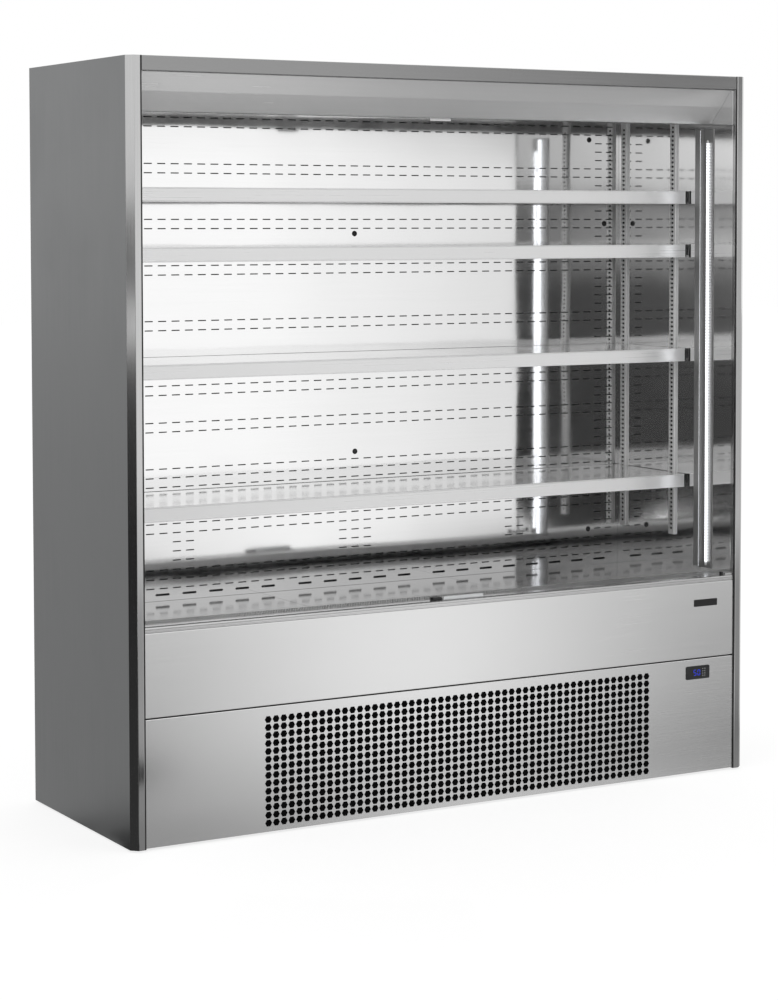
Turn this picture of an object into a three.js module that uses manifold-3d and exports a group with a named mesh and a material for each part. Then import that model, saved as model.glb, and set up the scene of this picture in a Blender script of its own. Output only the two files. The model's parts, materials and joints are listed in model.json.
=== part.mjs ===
// Open multideck display fridge, free standing, with a night blind.
// Millimetres. +X to the right, +Y to the back, +Z up. The origin is on the floor, under the
// middle of the cabinet. Every piece is one closed solid in a mesh of its own.

import * as THREE from "three";
import { mergeVertices } from "three/addons/utils/BufferGeometryUtils.js";
import Module from "manifold-3d";

// ---------------------------------------------------------------- driving dimensions

// Cabinet
const cabinetWidth = 1920;
const cabinetDepth = 660;
const cabinetHeight = 2000;
const floorGap = 5; // under the end walls
const endWallThickness = 38; // foamed end wall with its liner
const rearWallThickness = 38;
const roofThickness = 38;
const skinThickness = 0.8; // steel skins of the foamed walls, roof and well
const foamPortRadius = 15; // hole that the foam is filled through
const linerThickness = 1.5;
const sheetThickness = 1.5; // stainless sheet of panels, decks and shelves
const seatGap = 0.3; // between pieces that rest on each other
const faceGap = 0.1; // between a panel and a plate stuck on it
const overcut = 1; // how far a cutting shape stands out of what it cuts
const weld = 1; // how far two shapes of one piece run into each other
const postChamfer = 17; // bevel of the corner posts, and their depth

// Front
const frontSetback = 4; // panels behind the faces of the posts
const panelReturn = 12; // folded edges of the front panels
const seamHeight = 336; // seam between the two front panels
const seamWidth = 3;
const lowerPanelBase = 7;
const middlePanelTop = 553;
const ledgeHeight = 16;
const ledgeDepth = 28;
const ledgeGroove = 2;
const headerHeight = 38;
const headerDepth = 24;
const headerSetback = 1;

// Canopy over the night blind, as a bent sheet
const canopySetback = 28; // its top edge behind the front
const canopyFoldBack = 71;
const canopyFoldDrop = 84; // under the cabinet's top
const canopyLipBack = 126;
const canopyLipDrop = 137;
const canopyLipReturn = 9;

// Display space
const ductDepth = 30.5; // between the perforated back panel and the rear wall
const ceilingDrop = 112; // under the cabinet's top
const deckHeight = 535;
const deckNames = ["deck_plate_left", "deck_plate_middle", "deck_plate_right"];
const deckJointGap = 1;
const deckFlange = 18;
const grilleSetback = 34; // front edge of the return air grille
const grilleDepth = 67;
const returnGrilleDrop = 22;
const returnSlots = 36;
const returnRim = 8;
const deckFlangeGap = 0.6; // return grille to the decks' front folds

// Insulated well and cold parts
const wellUnderside = 340;
const wellFloor = 38;
const wellFront = 28;
const fanPlateSetback = 108;
const fanPlateFlange = 22;
const fanPlateGap = 2; // behind the decks' front folds
const outletDepth = 62; // honeycomb air outlet
const outletHeight = 18;
const outletSetback = 152;
const outletCells = 48;
const outletRim = 6;

// Shelves, by the rise of their top faces over the deck
const shelfRises = [306, 678, 984, 1141];
const shelfSetback = 229; // face of the price rail behind the front
const shelfRearGap = 8.7; // to the back panel
const shelfFlange = 33;
const shelfEndGap = 0.7;
const priceRailHeight = 38;
const priceRailThickness = 6;
const priceRailLip = 2;
const hookReach = 3.6;
const hookWidth = 14;
const hookHeight = 24;
const hookRise = 2;

// Slotted uprights on the end walls
const uprightWidth = 26;
const uprightDepth = 6;
const uprightWeb = 1.5;
const uprightRise = 120; // over the deck
const frontUprightSetback = 300;
const rearUprightGap = 37; // its middle in front of the back panel

// Light fittings on the end walls
const lightSetback = 106;
const lightWidth = 88;
const lightRise = 4.7; // over the ledge
const lightPlate = 2;
const lightLip = 12;
const lightTubeRadius = 7;
const lightTubeSetback = 127;
const lightTubeTopInset = 33;
const lightTubeFootInset = 8;
const lightClipHeight = 8;

// Night blind
const rollerCoreRadius = 20;
const blindWrap = 5; // rolled fabric on the core
const blindFabricThickness = 0.8;
const blindTopSetback = 140.7; // fabric plane at the roller
const blindBottomSetback = 46; // fabric plane at the ledge
const rollerDrop = 85; // its axis under the cabinet's top
const blindBarDrop = 31; // under the roller's axis
const blindBarHeight = 16;
const blindBarThickness = 7;
const blindEndGap = 4; // to the light fittings
const fabricInset = 6; // narrower than the roller, at each end
const fabricOverRoller = 2; // its top edge under the roller's axis
const pullTabWidth = 66;
const pullTabHeight = 8;
const pullOffset = 18; // pull tab and catch, right of the middle
const catchWidth = 126;
const catchHeight = 9;
const catchDepth = 22;
const catchSetback = 12;
const rollerPinRadius = 5;
const rollerPinReach = 14;
const boreExtra = 1; // bore deeper than its pin or shaft
const pinClearance = 0.3;
const bracketThickness = 3;
const bracketSize = 40;

// Lower grille panel: punched hexagons, of which every second row and column is cut here
const grilleColumns = 54;
const grilleRows = 14;
const grilleStride = 2;
const hexAcross = 17; // over two corners
const hexPitchX = 22.55;
const hexPitchZ = 20.84;
const hexFieldOffset = 20.5; // field right of the middle
const hexFieldHeight = 165.6;

// Controller and badge plate
const controllerWidth = 82;
const controllerZ = 38;
const controllerProud = 2.4;
const controllerBodyDepth = 55;
const controllerBodyInset = 5;
const controllerEndGap = 124.7; // its middle to the panel's right end
const controllerCentre = 296;
const badgeWidth = 81;
const badgeHeight = 20;
const badgeThickness = 1.4;
const badgeEndGap = 97.7; // its middle to the panel's right end
const badgeCentre = 495.5;

// Air slots in the foot of the back panel: a middle group and one towards each end
const slotWidth = 43;
const slotHeight = 6;
const slotPitch = 81.8;
const slotHeightAbove = 552.5;
const middleSlots = 5;
const outerSlotStart = 281.4;
const slotEndGap = 40; // least distance to the panel's end
const backPanelBase = 520;

// Base and feet
const basePanUnderside = 14;
const basePanRim = 40;
const basePanSetback = 34;
const basePanRear = 12;
const footRadius = 24;
const footStemRadius = 8;
const footPadHeight = 7;
const footInset = 70;

// Machine compartment
const coverInset = 4;
const louvreCount = 7;
const louvreWidth = 150;
const louvreHeight = 6;
const louvrePitch = 26;
const louvreColumnPitch = 225;
const glandRadius = 12;
const glandLength = 22;
const condenserWidth = 420;
const condenserHeight = 230;
const condenserDepth = 66;
const condenserSetback = 80;
const condenserOffset = -250;
const condenserInset = 4; // fins lower than the end plates
const condenserEndPlate = 2;
const condenserEndLip = 3;
const condenserFins = 11;
const condenserFinThickness = 8;
const condenserTubes = 4;
const shroudDepth = 46;
const shroudWall = 2;
const shroudStand = 6;
const condenserFanRadius = 98;
const compressorRadius = 88;
const compressorHeight = 190;
const compressorOffset = 210;
const compressorSetback = 300;
const compressorFootHeight = 14;
const compressorFootRadius = 12;
const compressorFootSpacing = 144;
const compressorPlate = 6;
const terminalWidth = 50;
const terminalDepth = 60;
const terminalHeight = 66;
const terminalBase = 57; // over the pot's foot
const terminalReach = 22; // box stands out of the pot
const pipeStubOffset = 44;
const pipeStubBase = 133;
const pipeStubRise = 12; // over the pot
// The pot's outline, as shares of its radius and height
const potShares = [[0, 0], [0.8, 0], [0.97, 0.12], [1, 0.45], [1, 0.55], [0.97, 0.8], [0.72, 0.95], [0, 1]];
const electricalWidth = 250;
const electricalDepth = 110;
const electricalHeight = 150;
const electricalEndGap = 151.7; // its middle to the right end of the pan
const electricalSetback = 200;
const electricalLid = 9;
const electricalLidLap = 4;
const trayWidth = 260;
const trayDepth = 380;
const trayHeight = 60;
const trayWall = 2;
const trayEndGap = 181.7; // its middle to the left end of the pan
const traySetback = 150;
const pipeRadius = 8;
const pipeHoleGap = 3;
const pipeBend = 34; // bend radius
const pipeSteps = 60;
const thinPipeRadius = 5; // discharge and liquid lines
const thinPipeBend = 20;
const dischargeRise = 40; // over the pot
const dischargeDrop = 20; // its port under the condenser's top
const liquidRise = 24; // its run over the pan
const thinPipeReach = 42; // its turn beside the condenser
const liquidBehind = 40; // its riser behind the suction line's
const liquidPortDrop = 30; // its port in the coil under the suction line's

// Evaporator and its fans
const coilLength = 1400;
const coilDepth = 170;
const coilHeight = 110;
const coilSetback = 300;
const coilStand = 6;
const coilPlate = 24; // carrier plates under the deck joints
const coilPlateSheet = 3;
const coilPlateLap = 4;
const coilFins = 29;
const coilFinThickness = 6;
const coilSpine = 10; // joins the fins along their foot
const coilBendRadius = 14;
const coilTubeRadius = 5;
const coilTubePitch = 68; // along the depth
const coilTubeRows = [33, 77]; // over the fins' foot
const bendSeat = 4; // how far a bend's ends run into the fins
const bendPoints = 4;
const bendSteps = 10;
const pipeSides = 3; // per half turn
const evaporatorFanRadius = 58;
const evaporatorFanOffset = 360;
const fanClearance = 5; // blade tips to their ring
const fanHubRadius = 20;
const fanHubDepth = 22;
const fanBladeCount = 5;
const fanBladeThickness = 2;
const fanBladePitch = 0.6; // radians
const motorRadius = 26;
const motorDepth = 34;
const motorGap = 4;
const motorShaftRadius = 4;
const motorArm = 10;
const motorArmThickness = 3;
const motorArmInset = 2;
const motorArmReach = 12; // past the fan's hole
const motorLeg = 6;
const bladeRoot = 4; // blades run into the hub

// ---------------------------------------------------------------- derived places

const topZ = cabinetHeight;
const outerX = cabinetWidth / 2;
const frontY = -cabinetDepth / 2;
const backY = cabinetDepth / 2;
const innerX = outerX - endWallThickness; // faces of the liners
const slabX = innerX + linerThickness + seatGap; // inner faces of the foamed end walls
const fitX = innerX - seatGap; // half length of what fits between the posts or liners
const postBackY = frontY + postChamfer;
const rearWallY = backY - rearWallThickness;
const backPanelY = rearWallY - ductDepth - sheetThickness;
const ceilingZ = topZ - ceilingDrop;
const canopyLipZ = topZ - canopyLipDrop;
const rollerZ = topZ - rollerDrop;
const blindBarTop = rollerZ - blindBarDrop;
const roofZ = topZ - roofThickness;
const headerZ = topZ - headerHeight;
const wellTopZ = wellUnderside + wellFloor;
const deckUndersideZ = deckHeight - sheetThickness;
const basePanZ = basePanUnderside + sheetThickness; // its floor
const machineZ = basePanZ + seatGap; // parts that stand on the pan
const panelFaceY = frontY + frontSetback;
const ledgeBaseZ = middlePanelTop + seatGap;
const ledgeTopZ = ledgeBaseZ + ledgeHeight;
const uprightFaceX = fitX - uprightDepth;
const lightFaceX = fitX - lightPlate - 2 * lightTubeRadius - lightPlate;
const blindHalf = lightFaceX - blindEndGap;
const rollerRadius = rollerCoreRadius + blindWrap;
const controllerX = fitX - controllerEndGap;
const badgeX = fitX - badgeEndGap;
const electricalX = fitX - electricalEndGap;
const trayX = -fitX + trayEndGap;

// ---------------------------------------------------------------- materials

const finishes = {
  brushed: [0xa9abac, 0.38, 0.95],
  polished: [0xd6d8d9, 0.12, 1.0],
  sideSteel: [0x76787a, 0.45, 0.9],
  whiteRail: [0xe9eaec, 0.35, 0.1],
  black: [0x17181a, 0.4, 0.0],
  zinc: [0x9ea3a6, 0.5, 0.8],
  aluminium: [0xc3c6c8, 0.35, 0.95],
  copper: [0xb06a3c, 0.35, 0.95],
  lamp: [0xf7fbff, 0.3, 0.0],
  fabric: [0xdcdedf, 0.85, 0.0],
  clear: [0xe6ecee, 0.15, 0.0],
};

const cabinet = new THREE.Group();
cabinet.name = "open_multideck_display_fridge";

function add(name, finish, geometry) {
  const [colour, roughness, metalness] = finishes[finish];
  const material = new THREE.MeshStandardMaterial({ color: colour, roughness, metalness });
  const mesh = new THREE.Mesh(geometry, material);
  mesh.name = name;
  cabinet.add(mesh);
}

// ---------------------------------------------------------------- shape helpers

const wasm = await Module();
wasm.setup();

function toSolid(geometry) {
  const bare = geometry.clone();
  bare.deleteAttribute("normal");
  bare.deleteAttribute("uv");
  const merged = mergeVertices(bare, 1e-4);
  const vertProperties = new Float32Array(merged.attributes.position.array);
  const triVerts = new Uint32Array(merged.index.array);
  return new wasm.Manifold(new wasm.Mesh({ numProp: 3, vertProperties, triVerts }));
}

function toGeometry(solid) {
  const mesh = solid.getMesh();
  const geometry = new THREE.BufferGeometry();
  const positions = new THREE.BufferAttribute(new Float32Array(mesh.vertProperties), 3);
  geometry.setAttribute("position", positions);
  geometry.setIndex(new THREE.BufferAttribute(new Uint32Array(mesh.triVerts), 1));
  geometry.computeVertexNormals();
  return geometry;
}

// Joins the first list of shapes and cuts the second list out of them.
function build(joined, cut = []) {
  let solid = toSolid(joined[0]);
  for (const geometry of joined.slice(1)) {
    solid = solid.add(toSolid(geometry));
  }
  for (const geometry of cut) {
    solid = solid.subtract(toSolid(geometry));
  }
  return toGeometry(solid);
}

function box(x0, x1, y0, y1, z0, z1) {
  const geometry = new THREE.BoxGeometry(x1 - x0, y1 - y0, z1 - z0);
  return geometry.translate((x0 + x1) / 2, (y0 + y1) / 2, (z0 + z1) / 2);
}

function outline(points) {
  return new THREE.Shape(points.map(([a, b]) => new THREE.Vector2(a, b)));
}

// A section drawn in y and z, pulled along x.
function alongX(points, x0, x1) {
  const geometry = new THREE.ExtrudeGeometry(outline(points), { depth: x1 - x0, bevelEnabled: false });
  const turn = new THREE.Matrix4().makeBasis(
    new THREE.Vector3(0, 1, 0),
    new THREE.Vector3(0, 0, 1),
    new THREE.Vector3(1, 0, 0),
  );
  return geometry.applyMatrix4(turn).translate(x0, 0, 0);
}

// A section drawn in x and y, pulled upwards.
function upwards(points, z0, z1) {
  const geometry = new THREE.ExtrudeGeometry(outline(points), { depth: z1 - z0, bevelEnabled: false });
  return geometry.translate(0, 0, z0);
}

// A profile of [radius, height] points that starts and ends on the axis, standing upright.
function turned(profile, segments) {
  const points = profile.map(([radius, height]) => new THREE.Vector2(radius, height));
  return new THREE.LatheGeometry(points, segments).rotateX(Math.PI / 2);
}

function rod(radius, length, segments) {
  return turned([[0, 0], [radius, 0], [radius, length], [0, length]], segments);
}

// A rod that starts at a point and runs to the back.
function rodToBack(radius, x, y, z, length, segments) {
  return rod(radius, length, segments).rotateX(-Math.PI / 2).translate(x, y, z);
}

// A rod that starts at a point and runs to the right.
function rodToRight(radius, x, y, z, length, segments) {
  return rod(radius, length, segments).rotateY(Math.PI / 2).translate(x, y, z);
}

function tube(route, radius, steps) {
  const section = new THREE.Shape();
  section.absarc(0, 0, radius, 0, 2 * Math.PI, false);
  return new THREE.ExtrudeGeometry(section, {
    extrudePath: route,
    steps,
    curveSegments: pipeSides,
    bevelEnabled: false,
  });
}

// A half circle of tube at the side of a coil, with both ends inside its fins.
function returnBend(x, y, z, side) {
  const seatX = x - side * bendSeat;
  const points = [new THREE.Vector3(seatX, y - coilBendRadius, z)];
  for (let i = 0; i <= bendPoints; i += 1) {
    const angle = (i / bendPoints - 0.5) * Math.PI;
    points.push(new THREE.Vector3(
      x + side * coilBendRadius * Math.cos(angle),
      y + coilBendRadius * Math.sin(angle),
      z,
    ));
  }
  points.push(new THREE.Vector3(seatX, y + coilBendRadius, z));
  return tube(new THREE.CatmullRomCurve3(points), coilTubeRadius, bendSteps);
}

// A route of straight runs between corners, with every corner rounded.
function roundedRoute(corners, radius) {
  const points = corners.map((corner) => new THREE.Vector3(...corner));
  const route = new THREE.CurvePath();
  let from = points[0];
  for (let i = 1; i < points.length - 1; i += 1) {
    const corner = points[i];
    const start = corner.clone().lerp(points[i - 1], radius / corner.distanceTo(points[i - 1]));
    const end = corner.clone().lerp(points[i + 1], radius / corner.distanceTo(points[i + 1]));
    route.add(new THREE.LineCurve3(from, start));
    route.add(new THREE.QuadraticBezierCurve3(start, corner, end));
    from = end;
  }
  route.add(new THREE.LineCurve3(from, points[points.length - 1]));
  return route;
}

// Steel skins round a space for foam, with a hole that the foam is filled through.
function foamed(x0, x1, y0, y1, z0, z1, port) {
  const s = skinThickness;
  const hollow = box(x0 + s, x1 - s, y0 + s, y1 - s, z0 + s, z1 - s);
  return build([box(x0, x1, y0, y1, z0, z1)], [hollow, port]);
}

// Mirrors a shape to the other end of the cabinet, with its faces still pointing out.
function mirrored(geometry) {
  return toGeometry(toSolid(geometry).mirror([1, 0, 0]));
}

// The same piece at both ends, made from the shape of the right one.
function bothEnds(leftName, rightName, finish, geometry) {
  add(rightName, finish, geometry);
  add(leftName, finish, mirrored(geometry));
}

// ---------------------------------------------------------------- carcass

// End walls: foamed panels, with a folded and chamfered steel post over each front edge.
const portLength = skinThickness + 2 * overcut;
bothEnds("left_side_panel", "right_side_panel", "sideSteel",
  foamed(slabX, outerX, postBackY + seatGap, backY, floorGap, topZ,
    rodToRight(foamPortRadius, slabX - overcut, 0, cabinetHeight / 2, portLength, 12)));

function cornerPost() {
  const t = sheetThickness;
  const mitre = t * (Math.SQRT2 - 1); // inner corner of a 45 degree fold
  const wallX = outerX - t * Math.SQRT2;
  const blank = [[innerX, postBackY], [innerX, frontY], [outerX - postChamfer, frontY],
    [outerX, postBackY]];
  const channel = [[wallX, postBackY], [outerX - postChamfer - mitre, frontY + t],
    [innerX + t, frontY + t], [innerX + t, postBackY + overcut], [wallX, postBackY + overcut]];
  return build([upwards(blank, floorGap, topZ)], [upwards(channel, floorGap + t, topZ - t)]);
}
bothEnds("left_corner_post", "right_corner_post", "brushed", cornerPost());

bothEnds("left_liner", "right_liner", "polished",
  box(innerX, innerX + linerThickness, postBackY + seatGap, backPanelY + sheetThickness, wellTopZ + seatGap,
    roofZ - seatGap));

// Rear wall, roof and the cover of the machine compartment.
const slabFitX = slabX - seatGap;
add("rear_wall", "zinc",
  foamed(-slabFitX, slabFitX, rearWallY, backY, wellUnderside, topZ,
    rodToBack(foamPortRadius, 0, rearWallY - overcut, cabinetHeight / 2, portLength, 12)));

const roofFrontY = frontY + frontSetback + headerDepth + seatGap;
add("roof_panel", "zinc",
  foamed(-fitX, fitX, roofFrontY, rearWallY - seatGap, roofZ, topZ,
    rod(foamPortRadius, portLength, 12).translate(0, 0, roofZ - overcut)));

// The header is a folded channel between the posts.
const headerFaceY = frontY + headerSetback;
const headerBackY = frontY + frontSetback + headerDepth;
add("header_fascia", "brushed", alongX([
  [headerFaceY, headerZ],
  [headerBackY, headerZ],
  [headerBackY, headerZ + sheetThickness],
  [headerFaceY + sheetThickness, headerZ + sheetThickness],
  [headerFaceY + sheetThickness, topZ - sheetThickness],
  [headerBackY, topZ - sheetThickness],
  [headerBackY, topZ],
  [headerFaceY, topZ],
], -fitX, fitX));

// The canopy is a bent sheet: down from the header, a fold, down to a lip with a return.
const canopyTop = [frontY + canopySetback, headerZ - seatGap];
const canopyFold = [frontY + canopyFoldBack, topZ - canopyFoldDrop];
const canopyLip = [frontY + canopyLipBack, canopyLipZ];
function canopySection() {
  const t = sheetThickness;
  return [
    canopyTop,
    canopyFold,
    canopyLip,
    [canopyLip[0], canopyLip[1] + canopyLipReturn],
    [canopyLip[0] - t, canopyLip[1] + canopyLipReturn],
    [canopyLip[0] - t, canopyLip[1] + 2 * t],
    [canopyFold[0] + t, canopyFold[1] + t],
    [canopyTop[0] + 2 * t, canopyTop[1]],
  ];
}
add("canopy", "brushed", alongX(canopySection(), -fitX, fitX));

// Ceiling of the display space, the floor of the air duct above it.
const outletY = frontY + outletSetback;
add("ceiling_plate", "polished",
  box(-fitX, fitX, outletY, rearWallY - seatGap, ceilingZ, ceilingZ + sheetThickness));

// Honeycomb air outlet under the front of the duct; the coarse cells stand for the fine ones.
function airOutlet() {
  const z1 = ceilingZ - seatGap;
  const z0 = z1 - outletHeight;
  const halfX = fitX;
  const cellPitch = (2 * halfX - outletRim) / outletCells;
  const cells = [];
  for (let i = 0; i < outletCells; i += 1) {
    const x0 = -halfX + outletRim + i * cellPitch;
    const x1 = x0 + cellPitch - outletRim;
    cells.push(box(x0, x1, outletY + outletRim, outletY + outletDepth - outletRim,
      z0 - overcut, z1 + overcut));
  }
  return build([box(-halfX, halfX, outletY, outletY + outletDepth, z0, z1)], cells);
}
add("air_outlet", "aluminium", airOutlet());

// Insulated well: floor over the machine compartment and an upstand behind the front panel.
const wellFrontY = panelFaceY + panelReturn + seatGap;
const suctionX = coilLength / 2 + 2 * pipeBend;
const suctionY = frontY + coilSetback + coilDepth / 2;
function wellBlock(inset) {
  const y0 = wellFrontY + inset;
  const y1 = wellFrontY + wellFront - inset;
  const y2 = rearWallY - seatGap - inset;
  const z0 = wellUnderside + inset;
  const z1 = wellTopZ - inset;
  const z2 = middlePanelTop - inset;
  const section = [[y0, z0], [y2, z0], [y2, z1], [y1, z1], [y1, z2], [y0, z2]];
  return alongX(section, -fitX + inset, fitX - inset);
}
const liquidY = suctionY + liquidBehind;
function pipeHole(radius, y) {
  return rod(radius + pipeHoleGap, wellFloor + 2 * overcut, 12)
    .translate(suctionX, y, wellUnderside - overcut);
}
add("well_tub", "zinc", build([wellBlock(0)],
  [wellBlock(skinThickness), pipeHole(pipeRadius, suctionY), pipeHole(thinPipeRadius, liquidY)]));

// Back panel of the display space, with air slots along its foot.
function backPanel() {
  const slotCentres = [];
  for (let i = 0; i < middleSlots; i += 1) {
    slotCentres.push((i - (middleSlots - 1) / 2) * slotPitch);
  }
  const outerRoom = fitX - slotEndGap - slotWidth / 2 - outerSlotStart;
  const outerSlots = Math.floor(outerRoom / slotPitch) + 1;
  for (let i = 0; i < outerSlots; i += 1) {
    slotCentres.push(outerSlotStart + i * slotPitch, -outerSlotStart - i * slotPitch);
  }
  const z0 = slotHeightAbove - slotHeight / 2;
  const cuts = slotCentres.map((x) => box(x - slotWidth / 2, x + slotWidth / 2,
    backPanelY - overcut, backPanelY + sheetThickness + overcut, z0, z0 + slotHeight));
  const sheet = box(-fitX, fitX, backPanelY, backPanelY + sheetThickness, backPanelBase,
    ceilingZ - seatGap);
  return build([sheet], cuts);
}
add("back_panel", "polished", backPanel());

// ---------------------------------------------------------------- front panels

// A front panel is a sheet with folded top and bottom edges.
function panelSection(z0, z1) {
  const y0 = panelFaceY;
  const y1 = panelFaceY + panelReturn;
  const t = sheetThickness;
  return [[y0, z0], [y1, z0], [y1, z0 + t], [y0 + t, z0 + t], [y0 + t, z1 - t], [y1, z1 - t], [y1, z1],
    [y0, z1]];
}
add("middle_panel", "brushed",
  alongX(panelSection(seamHeight + seamWidth / 2, middlePanelTop), -fitX, fitX));

function hexagon(x, z) {
  const points = [];
  for (let i = 0; i < 6; i += 1) {
    const angle = (i * Math.PI) / 3;
    points.push([(hexAcross / 2) * Math.cos(angle), (hexAcross / 2) * Math.sin(angle)]);
  }
  const depth = sheetThickness + 2 * overcut;
  return upwards(points, 0, depth).rotateX(-Math.PI / 2).translate(x, panelFaceY - overcut, z);
}

function lowerPanel() {
  const cuts = [];
  for (let column = 0; column < grilleColumns; column += grilleStride) {
    for (let row = 0; row < grilleRows; row += grilleStride) {
      const x = hexFieldOffset + (column - (grilleColumns - 1) / 2) * hexPitchX;
      const z = hexFieldHeight + ((grilleRows - 1) / 2 - row) * hexPitchZ;
      cuts.push(hexagon(x, z));
    }
  }
  const halfX = controllerWidth / 2 - controllerBodyInset + seatGap;
  const halfZ = controllerZ / 2 - controllerBodyInset + seatGap;
  cuts.push(box(controllerX - halfX, controllerX + halfX, panelFaceY - overcut,
    panelFaceY + sheetThickness + overcut, controllerCentre - halfZ, controllerCentre + halfZ));
  const section = panelSection(lowerPanelBase, seamHeight - seamWidth / 2);
  return build([alongX(section, -fitX, fitX)], cuts);
}
add("lower_grille_panel", "brushed", lowerPanel());

function controller() {
  const halfX = controllerWidth / 2;
  const halfZ = controllerZ / 2;
  const bezelBack = panelFaceY - faceGap;
  const bezel = box(controllerX - halfX, controllerX + halfX, bezelBack - controllerProud,
    bezelBack, controllerCentre - halfZ, controllerCentre + halfZ);
  const bodyX = halfX - controllerBodyInset;
  const bodyZ = halfZ - controllerBodyInset;
  const body = box(controllerX - bodyX, controllerX + bodyX, bezelBack - weld,
    bezelBack + controllerBodyDepth, controllerCentre - bodyZ, controllerCentre + bodyZ);
  return build([bezel, body]);
}
add("controller", "black", controller());

const badgeBackY = panelFaceY - faceGap;
add("badge_plate", "black",
  box(badgeX - badgeWidth / 2, badgeX + badgeWidth / 2, badgeBackY - badgeThickness, badgeBackY,
    badgeCentre - badgeHeight / 2, badgeCentre + badgeHeight / 2));

// Ledge over the front panel: an extruded nosing with one groove in its face.
add("front_ledge", "brushed", alongX([
  [panelFaceY, ledgeBaseZ],
  [panelFaceY + ledgeDepth, ledgeBaseZ],
  [panelFaceY + ledgeDepth, ledgeTopZ],
  [panelFaceY, ledgeTopZ],
  [panelFaceY, ledgeBaseZ + ledgeHeight / 2 + ledgeGroove],
  [panelFaceY + ledgeGroove, ledgeBaseZ + ledgeHeight / 2],
  [panelFaceY, ledgeBaseZ + ledgeHeight / 2 - ledgeGroove],
], -fitX, fitX));

// Return air grille behind the ledge, with long slots and a drop at its back.
const returnY0 = Math.max(frontY + grilleSetback, panelFaceY + ledgeDepth + seatGap);
const returnY1 = frontY + grilleSetback + grilleDepth;
function returnGrille() {
  const t = sheetThickness;
  const z1 = ledgeTopZ;
  const section = [[returnY0, z1 - t], [returnY1 - t, z1 - t], [returnY1 - t, z1 - returnGrilleDrop],
    [returnY1, z1 - returnGrilleDrop], [returnY1, z1], [returnY0, z1]];
  const pitch = (2 * fitX - returnRim) / returnSlots;
  const cuts = [];
  for (let i = 0; i < returnSlots; i += 1) {
    const x0 = -fitX + returnRim + i * pitch;
    cuts.push(box(x0, x0 + pitch - returnRim, returnY0 + returnRim, returnY1 - t - returnRim,
      z1 - t - overcut, z1 + overcut));
  }
  return build([alongX(section, -fitX, fitX)], cuts);
}
add("return_grille", "aluminium", returnGrille());

// ---------------------------------------------------------------- decks and shelves

// The deck plates lie side by side over the well and lift out.
function deckPlate(x0, x1) {
  const t = sheetThickness;
  const y0 = returnY1 + deckFlangeGap;
  const y1 = backPanelY - seatGap;
  const z = deckHeight;
  return alongX([[y0, z - deckFlange], [y0 + t, z - deckFlange], [y0 + t, z - t], [y1 - t, z - t],
    [y1 - t, z - deckFlange], [y1, z - deckFlange], [y1, z], [y0, z]], x0, x1);
}
const deckSpan = (2 * fitX - (deckNames.length - 1) * deckJointGap) / deckNames.length;
for (let i = 0; i < deckNames.length; i += 1) {
  const x0 = -fitX + i * (deckSpan + deckJointGap);
  add(deckNames[i], "polished", deckPlate(x0, x0 + deckSpan));
}

// Uprights: channels with an open face towards the shelves.
const uprightTopZ = ceilingZ - seatGap;
const frontUprightY = frontY + frontUprightSetback;
const rearUprightY = backPanelY - rearUprightGap;
function upright(y) {
  const half = uprightWidth / 2;
  return upwards([
    [fitX, y - half],
    [fitX, y + half],
    [uprightFaceX, y + half],
    [uprightFaceX, y + half - uprightWeb],
    [fitX - uprightWeb, y + half - uprightWeb],
    [fitX - uprightWeb, y - half + uprightWeb],
    [uprightFaceX, y - half + uprightWeb],
    [uprightFaceX, y - half],
  ], deckHeight + uprightRise, uprightTopZ);
}
bothEnds("upright_left_front", "upright_right_front", "zinc", upright(frontUprightY));
bothEnds("upright_left_rear", "upright_right_rear", "zinc", upright(rearUprightY));

// A shelf is a folded pan. Its ends are tapered brackets, with hooks in the uprights.
const shelfHalf = uprightFaceX - shelfEndGap;
const shelfPanY = frontY + shelfSetback + priceRailThickness + seatGap;
function shelf(z) {
  const t = sheetThickness;
  const y0 = shelfPanY;
  const y1 = backPanelY - shelfRearGap;
  const z0 = z - shelfFlange;
  const inner = shelfHalf - 2 * t;
  const blank = box(-shelfHalf, shelfHalf, y0, y1, z0, z);
  const hollow = box(-inner, inner, y0 + t, y1 - t, z0 - overcut, z - t);
  const rearCut = box(-inner, inner, y1 - 2 * t, y1 + overcut, z0 - overcut, z - shelfFlange / 2);
  const hooks = [frontUprightY, rearUprightY].flatMap((y) => {
    const hook = box(shelfHalf - t, uprightFaceX + hookReach, y - hookWidth / 2, y + hookWidth / 2,
      z0 + hookRise, z0 + hookRise + hookHeight);
    return [hook, mirrored(hook)];
  });
  return build([build([blank], [hollow, rearCut]), ...hooks]);
}

// The price rail is a moulded channel that snaps on the shelf's front fold.
function priceRail(z) {
  const y0 = frontY + shelfSetback;
  const y1 = y0 + priceRailThickness;
  const z0 = z - priceRailHeight;
  const wall = priceRailThickness / 3;
  return alongX([[y0, z0], [y1, z0], [y1, z], [y0, z], [y0, z - priceRailLip],
    [y0 + wall, z - 2 * priceRailLip], [y0 + wall, z0 + 2 * priceRailLip], [y0, z0 + priceRailLip]],
  -shelfHalf, shelfHalf);
}
shelfRises.forEach((rise, index) => {
  const z = deckHeight + rise;
  add(`shelf_${index + 1}`, "polished", shelf(z));
  add(`price_rail_${index + 1}`, "whiteRail", priceRail(z));
});

// ---------------------------------------------------------------- light fittings

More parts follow.
